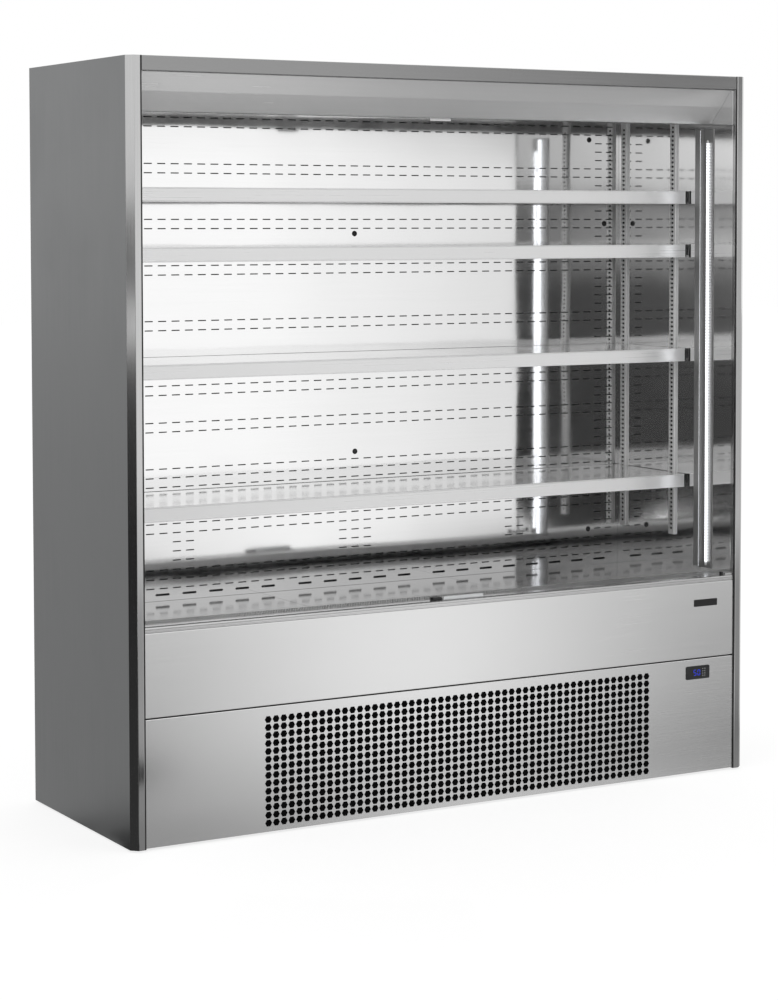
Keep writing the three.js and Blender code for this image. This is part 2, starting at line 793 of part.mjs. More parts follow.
// Each fitting is a plate with a front lip; its tube is held by a clip at each end.
const lightTopZ = canopyLipZ - lightClipHeight;
const lightFootZ = ledgeTopZ + lightRise;
function lightFitting() {
  const x1 = fitX;
  const x0 = x1 - lightPlate;
  const y0 = frontY + lightSetback;
  const y1 = y0 + lightWidth;
  const plate = upwards([[x0, y0 + lightPlate], [x0 - lightLip, y0 + lightPlate], [x0 - lightLip, y0],
    [x1, y0], [x1, y1], [x0, y1]], lightFootZ, lightTopZ);
  const tubeX = x0 - lightTubeRadius - lightPlate;
  const tubeY = frontY + lightTubeSetback;
  const tubeZ0 = lightFootZ + lightTubeFootInset;
  const tubeZ1 = lightTopZ - lightTubeTopInset;
  const tubeRod = rod(lightTubeRadius, tubeZ1 - tubeZ0, 16).translate(tubeX, tubeY, tubeZ0);
  const clip = (z) => box(tubeX, x0 + weld, tubeY - lightTubeRadius / 2, tubeY + lightTubeRadius / 2,
    z, z + lightClipHeight);
  return build([plate, tubeRod, clip(tubeZ0 + lightClipHeight), clip(tubeZ1 - 2 * lightClipHeight)]);
}
bothEnds("light_fitting_left", "light_fitting_right", "lamp", lightFitting());

// ---------------------------------------------------------------- night blind

// The fabric plane leans forward from the roller to the ledge.
const fabricTop = new THREE.Vector2(frontY + blindTopSetback, rollerZ);
const fabricFoot = new THREE.Vector2(frontY + blindBottomSetback, ledgeTopZ);
const pull = fabricFoot.clone().sub(fabricTop).normalize();
const blindLean = Math.atan2(-pull.x, -pull.y); // forward lean of the fabric plane
const rollerY = fabricTop.x - rollerRadius / Math.cos(blindLean);

// A point of the fabric plane at a height, moved square to the plane.
function onFabric(z, offset) {
  const along = (rollerZ - z) / Math.cos(blindLean);
  return [
    fabricTop.x + pull.x * along + offset * Math.cos(blindLean),
    z - offset * Math.sin(blindLean),
  ];
}

function onFabricStrip(z0, z1, front, back, x0, x1) {
  return alongX([onFabric(z0, front), onFabric(z0, back), onFabric(z1, back), onFabric(z1, front)], x0, x1);
}

const boreRadius = rollerPinRadius + pinClearance;
const boreDepth = rollerPinReach + boreExtra;
function roller() {
  return turned([[0, boreDepth], [boreRadius, boreDepth], [boreRadius, 0], [rollerRadius, 0],
    [rollerRadius, 2 * blindHalf], [boreRadius, 2 * blindHalf], [boreRadius, 2 * blindHalf - boreDepth],
    [0, 2 * blindHalf - boreDepth]], 20).rotateY(Math.PI / 2);
}
add("blind_roller", "fabric", roller().translate(-blindHalf, rollerY, rollerZ));

const fabricTopZ = rollerZ - fabricOverRoller;
add("blind_fabric", "fabric", onFabricStrip(blindBarTop + seatGap, fabricTopZ, seatGap,
  seatGap + blindFabricThickness, -blindHalf + fabricInset, blindHalf - fabricInset));

// Pull bar along the foot of the fabric, with its tab near the middle.
const barFront = -blindBarThickness / 2;
const barBack = blindBarThickness / 2;
const barBottom = blindBarTop - blindBarHeight;
add("blind_pull_bar", "whiteRail", build([
  onFabricStrip(barBottom, blindBarTop, barFront, barBack, -blindHalf, blindHalf),
  onFabricStrip(barBottom - pullTabHeight, barBottom + weld, barFront, barBack,
    pullOffset - pullTabWidth / 2, pullOffset + pullTabWidth / 2),
]));

// Brackets hang from the roof beside the liners and carry the roller on stub pins.
function blindBracket() {
  const half = bracketSize / 2;
  const x1 = fitX;
  const x0 = x1 - bracketThickness;
  const round = rodToRight(half, x0, rollerY, rollerZ, bracketThickness, 20);
  const strap = box(x0, x1, rollerY - half, rollerY + half, rollerZ, roofZ - seatGap);
  const pinStart = blindHalf - rollerPinReach;
  const pin = rodToRight(rollerPinRadius, pinStart, rollerY, rollerZ, x0 + weld - pinStart, 12);
  return build([round, strap, pin]);
}
bothEnds("blind_bracket_left", "blind_bracket_right", "zinc", blindBracket());

// The catch on the ledge is a low block with a hooked front edge for the tab.
const catchY = frontY + catchSetback;
add("blind_catch", "clear", alongX([
  [catchY, ledgeTopZ + seatGap],
  [catchY + catchDepth, ledgeTopZ + seatGap],
  [catchY + catchDepth, ledgeTopZ + seatGap + catchHeight / 3],
  [catchY + catchDepth / 3, ledgeTopZ + seatGap + catchHeight / 3],
  [catchY + catchDepth / 4, ledgeTopZ + seatGap + catchHeight],
  [catchY, ledgeTopZ + seatGap + catchHeight],
], pullOffset - catchWidth / 2, pullOffset + catchWidth / 2));

// ---------------------------------------------------------------- fans

// A rotor about the y axis, with its hub's front at y = 0 and a bore at the back for the shaft.
function fanRotor(radius) {
  const hub = rodToBack(fanHubRadius, 0, 0, 0, fanHubDepth, 16);
  const chord = (fanHubDepth - fanBladeThickness) / Math.sin(fanBladePitch);
  const blades = [];
  for (let i = 0; i < fanBladeCount; i += 1) {
    const blade = new THREE.BoxGeometry(chord, fanBladeThickness, radius - fanHubRadius + bladeRoot);
    blade.rotateZ(fanBladePitch);
    blade.translate(0, fanHubDepth / 2, (radius + fanHubRadius - bladeRoot) / 2);
    blade.rotateY((i * 2 * Math.PI) / fanBladeCount);
    blades.push(blade);
  }
  const rim = rodToBack(radius, 0, -fanHubDepth, 0, 3 * fanHubDepth, 24);
  const bore = rodToBack(motorShaftRadius + pinClearance, 0, fanHubDepth / 2, 0, fanHubDepth, 12);
  let solid = toSolid(hub);
  for (const blade of blades) {
    solid = solid.add(toSolid(blade));
  }
  return toGeometry(solid.intersect(toSolid(rim)).subtract(toSolid(bore)));
}

// A motor on a cross bar behind a fan hole, with its shaft towards the rotor.
function fanMotor(x, hubFrontY, z, plateBackY, holeRadius) {
  const motorY = hubFrontY + fanHubDepth + motorGap;
  const shaftY = hubFrontY + fanHubDepth / 2 + boreExtra;
  const reach = holeRadius + motorArmReach;
  const barY0 = motorY + motorArmInset;
  const barY1 = barY0 + motorArmThickness;
  const legY = plateBackY - weld / 2;
  const z0 = z - motorArm / 2;
  const z1 = z + motorArm / 2;
  return [
    rodToBack(motorRadius, x, motorY, z, motorDepth, 16),
    rodToBack(motorShaftRadius, x, shaftY, z, motorY - shaftY + weld, 12),
    box(x - reach, x + reach, barY0, barY1, z0, z1),
    box(x - reach, x - reach + motorLeg, legY, barY1, z0, z1),
    box(x + reach - motorLeg, x + reach, legY, barY1, z0, z1),
  ];
}

// ---------------------------------------------------------------- cold parts in the well

// The fan plate stands on the well's floor and carries the front of the decks.
const fanPlateY = Math.max(frontY + fanPlateSetback,
  returnY1 + deckFlangeGap + sheetThickness + fanPlateGap);
const evaporatorFanZ = (wellTopZ + deckUndersideZ) / 2;
const evaporatorFans = [-evaporatorFanOffset, evaporatorFanOffset];
const evaporatorHole = evaporatorFanRadius + fanClearance;
function fanPlate() {
  const t = sheetThickness;
  const z0 = wellTopZ + seatGap;
  const z1 = deckUndersideZ - seatGap;
  const sheet = alongX([[fanPlateY, z0], [fanPlateY + t, z0], [fanPlateY + t, z1 - t],
    [fanPlateY + fanPlateFlange, z1 - t], [fanPlateY + fanPlateFlange, z1], [fanPlateY, z1]], -fitX, fitX);
  const holes = evaporatorFans.map((x) => rodToBack(evaporatorHole, x, fanPlateY - overcut,
    evaporatorFanZ, t + 2 * overcut, 24));
  const plate = build([sheet], holes);
  const motors = evaporatorFans.flatMap((x) => fanMotor(x, fanPlateY - fanHubDepth / 2, evaporatorFanZ,
    fanPlateY + t, evaporatorHole));
  return build([plate, ...motors]);
}
add("evaporator_fan_plate", "zinc", fanPlate());
evaporatorFans.forEach((x, index) => {
  const rotor = fanRotor(evaporatorFanRadius).translate(x, fanPlateY - fanHubDepth / 2, evaporatorFanZ);
  add(`evaporator_fan_${index + 1}`, "black", rotor);
});

// The coil: fins on a spine between carrier plates, with its tube bends at the left end.
function evaporator() {
  const y0 = frontY + coilSetback;
  const y1 = y0 + coilDepth;
  const z0 = wellTopZ + seatGap;
  const finZ = z0 + coilStand;
  const halfX = coilLength / 2;
  const block = box(-halfX, halfX, y0, y1, finZ, finZ + coilHeight);
  const finPitch = (coilLength - coilFinThickness) / (coilFins - 1);
  const spaces = [];
  for (let i = 1; i < coilFins; i += 1) {
    const x = -halfX + i * finPitch;
    spaces.push(box(x + coilFinThickness - finPitch, x, y0 - overcut, y1 + overcut,
      finZ + coilSpine, finZ + coilHeight + overcut));
  }
  const parts = [build([block], spaces)];
  const plates = [-halfX + coilPlate / 2, halfX - coilPlate / 2];
  for (let i = 1; i < deckNames.length; i += 1) {
    plates.push(-fitX + i * (deckSpan + deckJointGap) - deckJointGap / 2);
  }
  const top = deckUndersideZ - seatGap;
  const plateY0 = y0 - coilPlateLap;
  const plateY1 = y1 + coilPlateLap;
  for (const x of plates) {
    parts.push(box(x - coilPlateSheet / 2, x + coilPlateSheet / 2, plateY0, plateY1, z0, top));
    parts.push(box(x - coilPlate / 2, x + coilPlate / 2, plateY0, plateY1, top - coilPlateSheet, top));
  }
  for (const rise of coilTubeRows) {
    for (const side of [-1, 1]) {
      const y = (y0 + y1) / 2 + (side * coilTubePitch) / 2;
      parts.push(returnBend(-halfX, y, finZ + rise, -1));
    }
  }
  return build(parts);
}
add("evaporator_coil", "aluminium", evaporator());

// ---------------------------------------------------------------- machine compartment

const panHalf = slabX - seatGap;
const panY0 = frontY + basePanSetback;
const panY1 = backY - basePanRear;
const panRimZ = basePanUnderside + basePanRim;
const foldThickness = 2 * sheetThickness;
add("base_pan", "zinc", build(
  [box(-panHalf, panHalf, panY0, panY1, basePanUnderside, panRimZ)],
  [box(-panHalf + foldThickness, panHalf - foldThickness, panY0 + foldThickness, panY1 - foldThickness,
    basePanZ, panRimZ + overcut)],
));

function foot() {
  const top = basePanUnderside - seatGap;
  return turned([[0, 0], [footRadius, 0], [footRadius, footPadHeight / 2], [footStemRadius, footPadHeight],
    [footStemRadius, top], [0, top]], 20);
}
const footX = panHalf - footInset;
const footFrontY = panY0 + footInset;
const footRearY = panY1 - footInset;
bothEnds("foot_front_left", "foot_front_right", "black", foot().translate(footX, footFrontY, 0));
bothEnds("foot_rear_left", "foot_rear_right", "black", foot().translate(footX, footRearY, 0));

// Rear cover of the machine compartment: louvres, and the gland for the mains lead.
function rearCover() {
  const y1 = backY - coverInset;
  const y0 = y1 - sheetThickness;
  const z0 = floorGap + seatGap;
  const z1 = wellUnderside - seatGap;
  const slots = [];
  for (const side of [-1, 0, 1]) {
    for (let i = 0; i < louvreCount; i += 1) {
      const x = side * louvreColumnPitch;
      const z = (z0 + z1) / 2 + (i - (louvreCount - 1) / 2) * louvrePitch;
      slots.push(box(x - louvreWidth / 2, x + louvreWidth / 2, y0 - overcut, y1 + overcut,
        z, z + louvreHeight));
    }
  }
  const glandX = electricalX;
  const glandZ = (z0 + z1) / 2;
  const glandY = backY - weld - glandLength;
  const gland = rodToBack(glandRadius, glandX, glandY, glandZ, glandLength, 16);
  return build([box(-panHalf, panHalf, y0, y1, z0, z1), gland], slots);
}
add("machine_rear_cover", "zinc", rearCover());

// Condenser behind the punched panel, its fan and shroud behind it.
const condenserY0 = frontY + condenserSetback;
const condenserY1 = condenserY0 + condenserDepth;
const condenserX0 = condenserOffset - condenserWidth / 2;
const condenserX1 = condenserOffset + condenserWidth / 2;
const condenserZ0 = machineZ;
const condenserZ1 = condenserZ0 + condenserHeight;
const condenserZ = (condenserZ0 + condenserZ1) / 2;
const compressorX = compressorOffset;
const compressorY = frontY + compressorSetback;
const condenserPortX = condenserX1 + condenserEndPlate / 2;
const thinPipeX = condenserX1 + thinPipeReach;
const condenserY = (condenserY0 + condenserY1) / 2;
const coilPortZ = wellTopZ + coilStand + coilHeight / 2;

// The liquid line is brazed to the condenser and runs along the pan, then up to the coil.
function liquidLine() {
  const z = machineZ + liquidRise;
  const portZ = coilPortZ - liquidPortDrop;
  return tube(roundedRoute([
    [condenserPortX - weld, condenserY, z],
    [thinPipeX, condenserY, z],
    [thinPipeX, liquidY, z],
    [suctionX, liquidY, z],
    [suctionX, liquidY, portZ],
    [coilLength / 2 + seatGap, liquidY, portZ],
  ], thinPipeBend), thinPipeRadius, pipeSteps);
}

function condenser() {
  const z0 = condenserZ0 + condenserInset;
  const z1 = condenserZ1 - condenserInset;
  const rail = 2 * condenserInset;
  const finPitch = (condenserWidth - condenserFinThickness) / (condenserFins - 1);
  const spaces = [];
  for (let i = 1; i < condenserFins; i += 1) {
    const x = condenserX0 + i * finPitch;
    spaces.push(box(x + condenserFinThickness - finPitch, x, condenserY0 - overcut, condenserY1 + overcut,
      z0 + rail, z1 - rail));
  }
  const parts = [build([box(condenserX0, condenserX1, condenserY0, condenserY1, z0, z1)], spaces)];
  for (const x of [condenserX0, condenserX1]) {
    parts.push(box(x - condenserEndPlate / 2, x + condenserEndPlate / 2, condenserY0 - condenserEndLip,
      condenserY1 + condenserEndLip, condenserZ0, condenserZ1));
  }
  for (let i = 1; i <= condenserTubes; i += 1) {
    const z = condenserZ0 + (condenserHeight * i) / (condenserTubes + 1);
    parts.push(returnBend(condenserX1, condenserY, z, 1));
  }
  return build([...parts, liquidLine()]);
}
add("condenser", "aluminium", condenser());

const shroudY = condenserY1 + condenserEndLip + seatGap;
function condenserShroud() {
  const y0 = shroudY;
  const y1 = y0 + shroudDepth;
  const x0 = condenserX0 + shroudStand;
  const x1 = condenserX1 - shroudStand;
  const holeRadius = condenserFanRadius + fanClearance;
  const shell = build(
    [box(x0, x1, y0, y1, condenserZ0, condenserZ1)],
    [
      box(x0 + shroudWall, x1 - shroudWall, y0 - overcut, y1 - shroudWall, condenserZ0 + shroudWall,
        condenserZ1 - shroudWall),
      rodToBack(holeRadius, condenserOffset, y1 - shroudWall - overcut, condenserZ,
        shroudWall + 2 * overcut, 28),
    ],
  );
  return build([shell, ...fanMotor(condenserOffset, y1 - fanHubDepth, condenserZ, y1, holeRadius)]);
}
add("condenser_shroud", "zinc", condenserShroud());
const condenserFanY = shroudY + shroudDepth - fanHubDepth;
add("condenser_fan", "black",
  fanRotor(condenserFanRadius).translate(condenserOffset, condenserFanY, condenserZ));

// Hermetic compressor: a domed pot on a plate with four rubber feet and a terminal box.
const pipeStubX = compressorX + pipeStubOffset;
const potZ = machineZ + compressorFootHeight;
const stubTopZ = potZ + compressorHeight + pipeStubRise;

// The discharge line is brazed to the compressor and ends at the condenser's upper port.
function dischargeLine() {
  const x = compressorX - pipeStubOffset;
  const runZ = potZ + compressorHeight + dischargeRise;
  const portZ = condenserZ1 - dischargeDrop;
  return tube(roundedRoute([
    [x, compressorY, potZ + pipeStubBase],
    [x, compressorY, runZ],
    [thinPipeX, compressorY, runZ],
    [thinPipeX, condenserY, runZ],
    [thinPipeX, condenserY, portZ],
    [condenserPortX + seatGap, condenserY, portZ],
  ], thinPipeBend), thinPipeRadius, pipeSteps);
}

function compressor() {
  const r = compressorRadius;
  const profile = potShares.map(([radius, height]) => [radius * r, height * compressorHeight]);
  const pot = turned(profile, 20).translate(compressorX, compressorY, potZ);
  const plate = box(compressorX - r, compressorX + r, compressorY - r, compressorY + r,
    potZ - compressorPlate / 2, potZ + compressorPlate / 2);
  const terminalX = compressorX - r - terminalReach;
  const terminals = box(terminalX, terminalX + terminalWidth, compressorY - terminalDepth / 2,
    compressorY + terminalDepth / 2, potZ + terminalBase, potZ + terminalBase + terminalHeight);
  const stubBase = potZ + pipeStubBase;
  const stub = rod(pipeRadius, stubTopZ - stubBase, 12).translate(pipeStubX, compressorY, stubBase);
  const footHalf = compressorFootSpacing / 2;
  const feet = [-1, 1].flatMap((sx) => [-1, 1].map((sy) => rod(
    compressorFootRadius, compressorFootHeight, 12,
  ).translate(compressorX + sx * footHalf, compressorY + sy * footHalf, machineZ)));
  return build([pot, plate, terminals, stub, dischargeLine(), ...feet]);
}
add("compressor", "black", compressor());

// Suction line: from the compressor's stub up through the well's floor to the coil.
const suctionRunZ = stubTopZ + pipeBend + pipeRadius;
add("suction_line", "copper", tube(roundedRoute([
  [pipeStubX, compressorY, stubTopZ + seatGap],
  [pipeStubX, compressorY, suctionRunZ],
  [suctionX, compressorY, suctionRunZ],
  [suctionX, suctionY, suctionRunZ],
  [suctionX, suctionY, coilPortZ],
  [coilLength / 2 + seatGap, suctionY, coilPortZ],
], pipeBend), pipeRadius, pipeSteps));

// Electrical box behind the controller.
const electricalY0 = frontY + electricalSetback;
const electricalX0 = electricalX - electricalWidth / 2;
const electricalX1 = electricalX + electricalWidth / 2;
add("electrical_box", "zinc", build([
  box(electricalX0, electricalX1, electricalY0, electricalY0 + electricalDepth, machineZ,
    machineZ + electricalHeight),
  box(electricalX0 - electricalLidLap, electricalX1 + electricalLidLap, electricalY0 - electricalLid / 3,
    electricalY0 + electricalLid, machineZ, machineZ + electricalHeight + electricalLidLap),
]));

// Tray that catches the defrost water.
const trayY0 = frontY + traySetback;
add("drip_tray", "black", build(
  [box(trayX - trayWidth / 2, trayX + trayWidth / 2, trayY0, trayY0 + trayDepth, machineZ,
    machineZ + trayHeight)],
  [box(trayX - trayWidth / 2 + trayWall, trayX + trayWidth / 2 - trayWall, trayY0 + trayWall,
    trayY0 + trayDepth - trayWall, machineZ + trayWall, machineZ + trayHeight + overcut)],
));

export default cabinet;
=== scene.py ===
"""Open multideck display fridge in stainless steel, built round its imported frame, in metres."""
import json
from math import ceil, cos, degrees, pi, radians, sin, tan
from random import Random

import bmesh
import bpy
from mathutils import Matrix, Vector

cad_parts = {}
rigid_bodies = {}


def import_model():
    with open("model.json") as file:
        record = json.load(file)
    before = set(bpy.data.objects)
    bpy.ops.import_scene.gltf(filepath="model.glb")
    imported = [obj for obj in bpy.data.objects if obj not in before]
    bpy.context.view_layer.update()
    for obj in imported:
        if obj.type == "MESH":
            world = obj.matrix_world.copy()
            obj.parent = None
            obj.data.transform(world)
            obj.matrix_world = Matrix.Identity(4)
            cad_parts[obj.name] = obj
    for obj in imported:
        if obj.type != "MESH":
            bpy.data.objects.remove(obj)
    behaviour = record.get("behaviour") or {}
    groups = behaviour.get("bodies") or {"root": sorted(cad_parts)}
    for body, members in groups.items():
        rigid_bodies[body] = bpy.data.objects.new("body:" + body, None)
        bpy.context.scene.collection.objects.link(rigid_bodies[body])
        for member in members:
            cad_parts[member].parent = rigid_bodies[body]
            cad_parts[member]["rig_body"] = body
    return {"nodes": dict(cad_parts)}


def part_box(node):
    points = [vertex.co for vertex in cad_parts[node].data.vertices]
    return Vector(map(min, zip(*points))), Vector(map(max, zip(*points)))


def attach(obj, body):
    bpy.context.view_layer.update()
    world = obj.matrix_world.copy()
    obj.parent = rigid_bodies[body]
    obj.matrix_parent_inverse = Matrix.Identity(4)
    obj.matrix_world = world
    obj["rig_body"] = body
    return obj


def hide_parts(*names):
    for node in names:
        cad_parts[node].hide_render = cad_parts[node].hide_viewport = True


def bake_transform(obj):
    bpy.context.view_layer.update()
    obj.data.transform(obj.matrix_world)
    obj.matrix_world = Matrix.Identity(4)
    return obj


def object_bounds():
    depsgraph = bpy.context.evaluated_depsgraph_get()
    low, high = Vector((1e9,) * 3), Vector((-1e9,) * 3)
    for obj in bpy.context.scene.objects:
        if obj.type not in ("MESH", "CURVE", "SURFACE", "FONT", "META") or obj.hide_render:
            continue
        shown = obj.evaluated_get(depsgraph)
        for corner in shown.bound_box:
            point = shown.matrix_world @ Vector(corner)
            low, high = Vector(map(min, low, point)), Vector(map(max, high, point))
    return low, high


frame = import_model()
cad_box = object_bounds()

# ---------------- camera

# The photograph's view: from the front left at eye height, with a long lens that was shifted up.
# Its place, turn and lens come from fitting the cabinet's outer corners.
FOCAL_PIXELS = 2501.93
IMAGE_HEIGHT = 1000
SENSOR = 36.0
camera_data = bpy.data.cameras.new("camera")
camera_data.sensor_width = SENSOR
camera_data.lens = FOCAL_PIXELS * SENSOR / IMAGE_HEIGHT
camera_data.shift_x = -0.061
camera_data.shift_y = -0.149
camera_data.clip_end = 100
camera = bpy.data.objects.new("camera", camera_data)
camera.location = (-3.46118, -6.07102, 1.59133)
camera.rotation_euler = (radians(87), 0, radians(-30.85))
bpy.context.scene.collection.objects.link(camera)
bpy.context.scene.camera = camera

# ---------------- studio

# A white sweep in even light. The steel mirrors it, and mirrors also see a painted pool of light
# and painted shade on the floor, and glowing sheets round the camera, painted pale and dark.
scene = bpy.context.scene
scene.view_settings.view_transform = "Standard"
scene.cycles.max_bounces = 16
scene.cycles.glossy_bounces = 10

FLOOR_HALF = 30.0
FLOOR_GLOW = 0.65  # share of the floor that the camera sees as plain white, so that a soft shadow stays
FLOOR_WHITE = 1.2  # makes up for the grey of the rest of it
PAPER = 0.9  # its lightness and its roughness
# The pool below is painted light and shade on the floor, which only mirrors see.
POOL_HEADING = 30  # mirrors see a beam of light on the floor, this far to the right of the front
POOL_MIDDLE = 0.28  # how far its middle line passes to the left of the origin
POOL_HALF = (1.25, 0.4)  # half its width, and the level outside it
POOL_FOOT = (0.1, 1.1, 0.62, 0.32)  # the light at its foot: its middle, half width and two levels
POOL_START = (0.24, 0.42)  # ahead of the cabinet, where that light gives way to the beam
POOL_NEAR = (0.3, 1.6, 0.62)  # where the beam grows to its full strength, and its share before
POOL_SIDE = (-0.6, -0.1, 0.62)  # where the light beside and behind the cabinet ends, and its level
POOL_END = (3.0, 5.2, 0.25)  # where the beam spreads, and what is left of it beyond
DAYLIGHT = 0.72  # what matt surfaces get from all round


def linear(code):
    """A colour written as six hexadecimal digits, made linear for a shader."""
    channels = [int(code[i:i + 2], 16) / 255 for i in (0, 2, 4)]
    return [c / 12.92 if c <= 0.04045 else ((c + 0.055) / 1.055) ** 2.4 for c in channels] + [1.0]


def new_object(name, data):
    piece = bpy.data.objects.new(name, data)
    scene.collection.objects.link(piece)
    return piece


def mesh_of(name, corners, faces):
    mesh = bpy.data.meshes.new(name)
    mesh.from_pydata(corners, [], faces)
    mesh.update()
    return mesh


def fill(tree, node, values):
    """Sets a node's inputs, by name or number, to plain values or other nodes' outputs."""
    for label, value in values.items():
        if isinstance(value, bpy.types.NodeSocket):
            tree.links.new(value, node.inputs[label])
        else:
            node.inputs[label].default_value = value


def add_node(tree, kind, values, operation=None):
    """A new node with its inputs filled."""
    node = tree.nodes.new(kind)
    if operation:
        node.operation = operation
    fill(tree, node, values)
    return node


def maths(tree, operation, *values):
    """The result of a Math node."""
    return add_node(tree, "ShaderNodeMath", dict(enumerate(values)), operation).outputs[0]


def remap(tree, value, low, high, to_low, to_high, softly=False):
    """A value stretched from one range to another."""
    span = add_node(tree, "ShaderNodeMapRange", {
        "Value": value, "From Min": low, "From Max": high, "To Min": to_low, "To Max": to_high})
    if softly:
        span.interpolation_type = "SMOOTHSTEP"
    return span.outputs["Result"]


def rays_of(tree):
    """What the camera sees itself, and what it sees in mirrors and through glass."""
    path = tree.nodes.new("ShaderNodeLightPath").outputs
    return path["Is Camera Ray"], maths(tree, "MAXIMUM", path["Is Glossy Ray"], path["Is Transmission Ray"])


world = bpy.data.worlds.new("studio")
world.use_nodes = True
scene.world = world
sky = world.node_tree
direct, mirrored = rays_of(sky)
brightness = remap(sky, maths(sky, "MAXIMUM", direct, mirrored), 0, 1, DAYLIGHT, 1)
fill(sky, sky.nodes["Background"], {"Color": (1, 1, 1, 1), "Strength": brightness})

sweep_paper = bpy.data.materials.new("sweep_paper")
sweep_paper.use_nodes = True
sweep = sweep_paper.node_tree
paper = sweep.nodes["Principled BSDF"]
fill(sweep, paper, {"Base Color": (PAPER, PAPER, PAPER, 1), "Roughness": PAPER})
place = sweep.nodes.new("ShaderNodeTexCoord").outputs["Object"]
axes = add_node(sweep, "ShaderNodeSeparateXYZ", {"Vector": place}).outputs
# What mirrors see of the floor is painted: a pool of light, with painted shade at the cabinet's foot and
# beside it.
from_front = maths(sweep, "SUBTRACT", cad_box[0].y, axes["Y"])
foot_side = maths(sweep, "ABSOLUTE", maths(sweep, "SUBTRACT", axes["X"], POOL_FOOT[0]))
painted_foot_shade = remap(sweep, foot_side, 0, *POOL_FOOT[1:], softly=True)
heading = (cos(radians(POOL_HEADING)), sin(radians(POOL_HEADING)), 0)
across = add_node(sweep, "ShaderNodeVectorMath", {0: place, 1: heading}, "DOT_PRODUCT").outputs["Value"]
beside = maths(sweep, "ABSOLUTE", maths(sweep, "ADD", across, POOL_MIDDLE))
outside = remap(sweep, beside, 0, POOL_HALF[0], 0, 1 - POOL_HALF[1], softly=True)
fading = remap(sweep, from_front, *POOL_END[:2], 1, POOL_END[2], softly=True)
beam = maths(sweep, "SUBTRACT", 1, maths(sweep, "MULTIPLY", outside, fading))
beam = maths(sweep, "MULTIPLY", beam, remap(sweep, from_front, *POOL_NEAR, 1, softly=True))
started = remap(sweep, from_front, *POOL_START, 0, 1, softly=True)
farther = maths(sweep, "MULTIPLY", started, maths(sweep, "SUBTRACT", beam, painted_foot_shade))
painted_side_shade = remap(sweep, from_front, *POOL_SIDE, 0, softly=True)
direct, mirrored = rays_of(sweep)
painted_pool = maths(sweep, "MAXIMUM", maths(sweep, "ADD", painted_foot_shade, farther), painted_side_shade)
white = maths(sweep, "MULTIPLY", direct, FLOOR_WHITE)
glow = add_node(sweep, "ShaderNodeEmission", {
    "Strength": maths(sweep, "ADD", maths(sweep, "MULTIPLY", painted_pool, mirrored), white)})
share = maths(sweep, "MAXIMUM", maths(sweep, "MULTIPLY", direct, FLOOR_GLOW), mirrored)
both = add_node(sweep, "ShaderNodeMixShader", {
    "Fac": share, 1: paper.outputs["BSDF"], 2: glow.outputs["Emission"]})
fill(sweep, sweep.nodes["Material Output"], {"Surface": both.outputs["Shader"]})
floor_corners = [(x * FLOOR_HALF, y * FLOOR_HALF, 0) for x, y in ((-1, -1), (1, -1), (1, 1), (-1, 1))]
floor = new_object("floor", mesh_of("floor", floor_corners, [(0, 1, 2, 3)]))
floor.data.materials.append(sweep_paper)

LAMP_SIZE = 3.0
LAMP_AIM = Vector((0, 0, 0.9))
for name, stand, radiance in (("key_lamp", (3.6, -5.2, 4.2), 1.5), ("fill_lamp", (-5.4, -2.6, 3.2), 0.9),
                              ("back_lamp", (1.5, 5.5, 4.0), 1.0)):
    # A square soft box whose face has the given brightness.
    lamp = bpy.data.lights.new(name, "AREA")
    lamp.size = LAMP_SIZE
    lamp.energy = radiance * pi * LAMP_SIZE ** 2
    holder = new_object(name, lamp)
    holder.location = stand
    holder.rotation_euler = (LAMP_AIM - Vector(stand)).to_track_quat("-Z", "Y").to_euler()
    holder.visible_glossy = False


def painted_reflection(name, rings):
    """A glowing sheet that only mirrors see, between arcs round the cabinet: a painted reflection.

    An arc is its radius, its height, its first and last angle from -Y towards -X, and how bright
    the sheet glows at both.
    """
    steps = 16
    corners, levels = [], []
    for radius, height, first, last, first_level, last_level in rings:
        for i in range(steps + 1):
            angle = radians(first + (last - first) * i / steps)
            corners.append((-radius * sin(angle), -radius * cos(angle), height))
            levels.append(first_level + (last_level - first_level) * i / steps)
    wide = steps + 1
    faces = [(k * wide + i, k * wide + i + 1, (k + 1) * wide + i + 1, (k + 1) * wide + i)
             for k in range(len(rings) - 1) for i in range(steps)]
    sheet_object = new_object(name, mesh_of(name, corners, faces))
    shades = sheet_object.data.color_attributes.new("shade", "FLOAT_COLOR", "POINT")
    for i, level in enumerate(levels):
        shades.data[i].color = (level, level, level, 1)
    material = bpy.data.materials.new(name)
    material.use_nodes = True
    tree = material.node_tree
    tree.nodes.remove(tree.nodes["Principled BSDF"])
    attribute = tree.nodes.new("ShaderNodeAttribute")
    attribute.attribute_name = "shade"
    shade = add_node(tree, "ShaderNodeEmission", {"Color": attribute.outputs["Color"]})
    fill(tree, tree.nodes["Material Output"], {"Surface": shade.outputs["Emission"]})
    sheet_object.data.materials.append(material)
    sheet_object.visible_camera = False
    sheet_object.visible_diffuse = False
    sheet_object.visible_shadow = False
    sheet_object.visible_transmission = False


REFLECTION_RADIUS = 7.4
REFLECTION_FOOT = 0.004  # above the floor
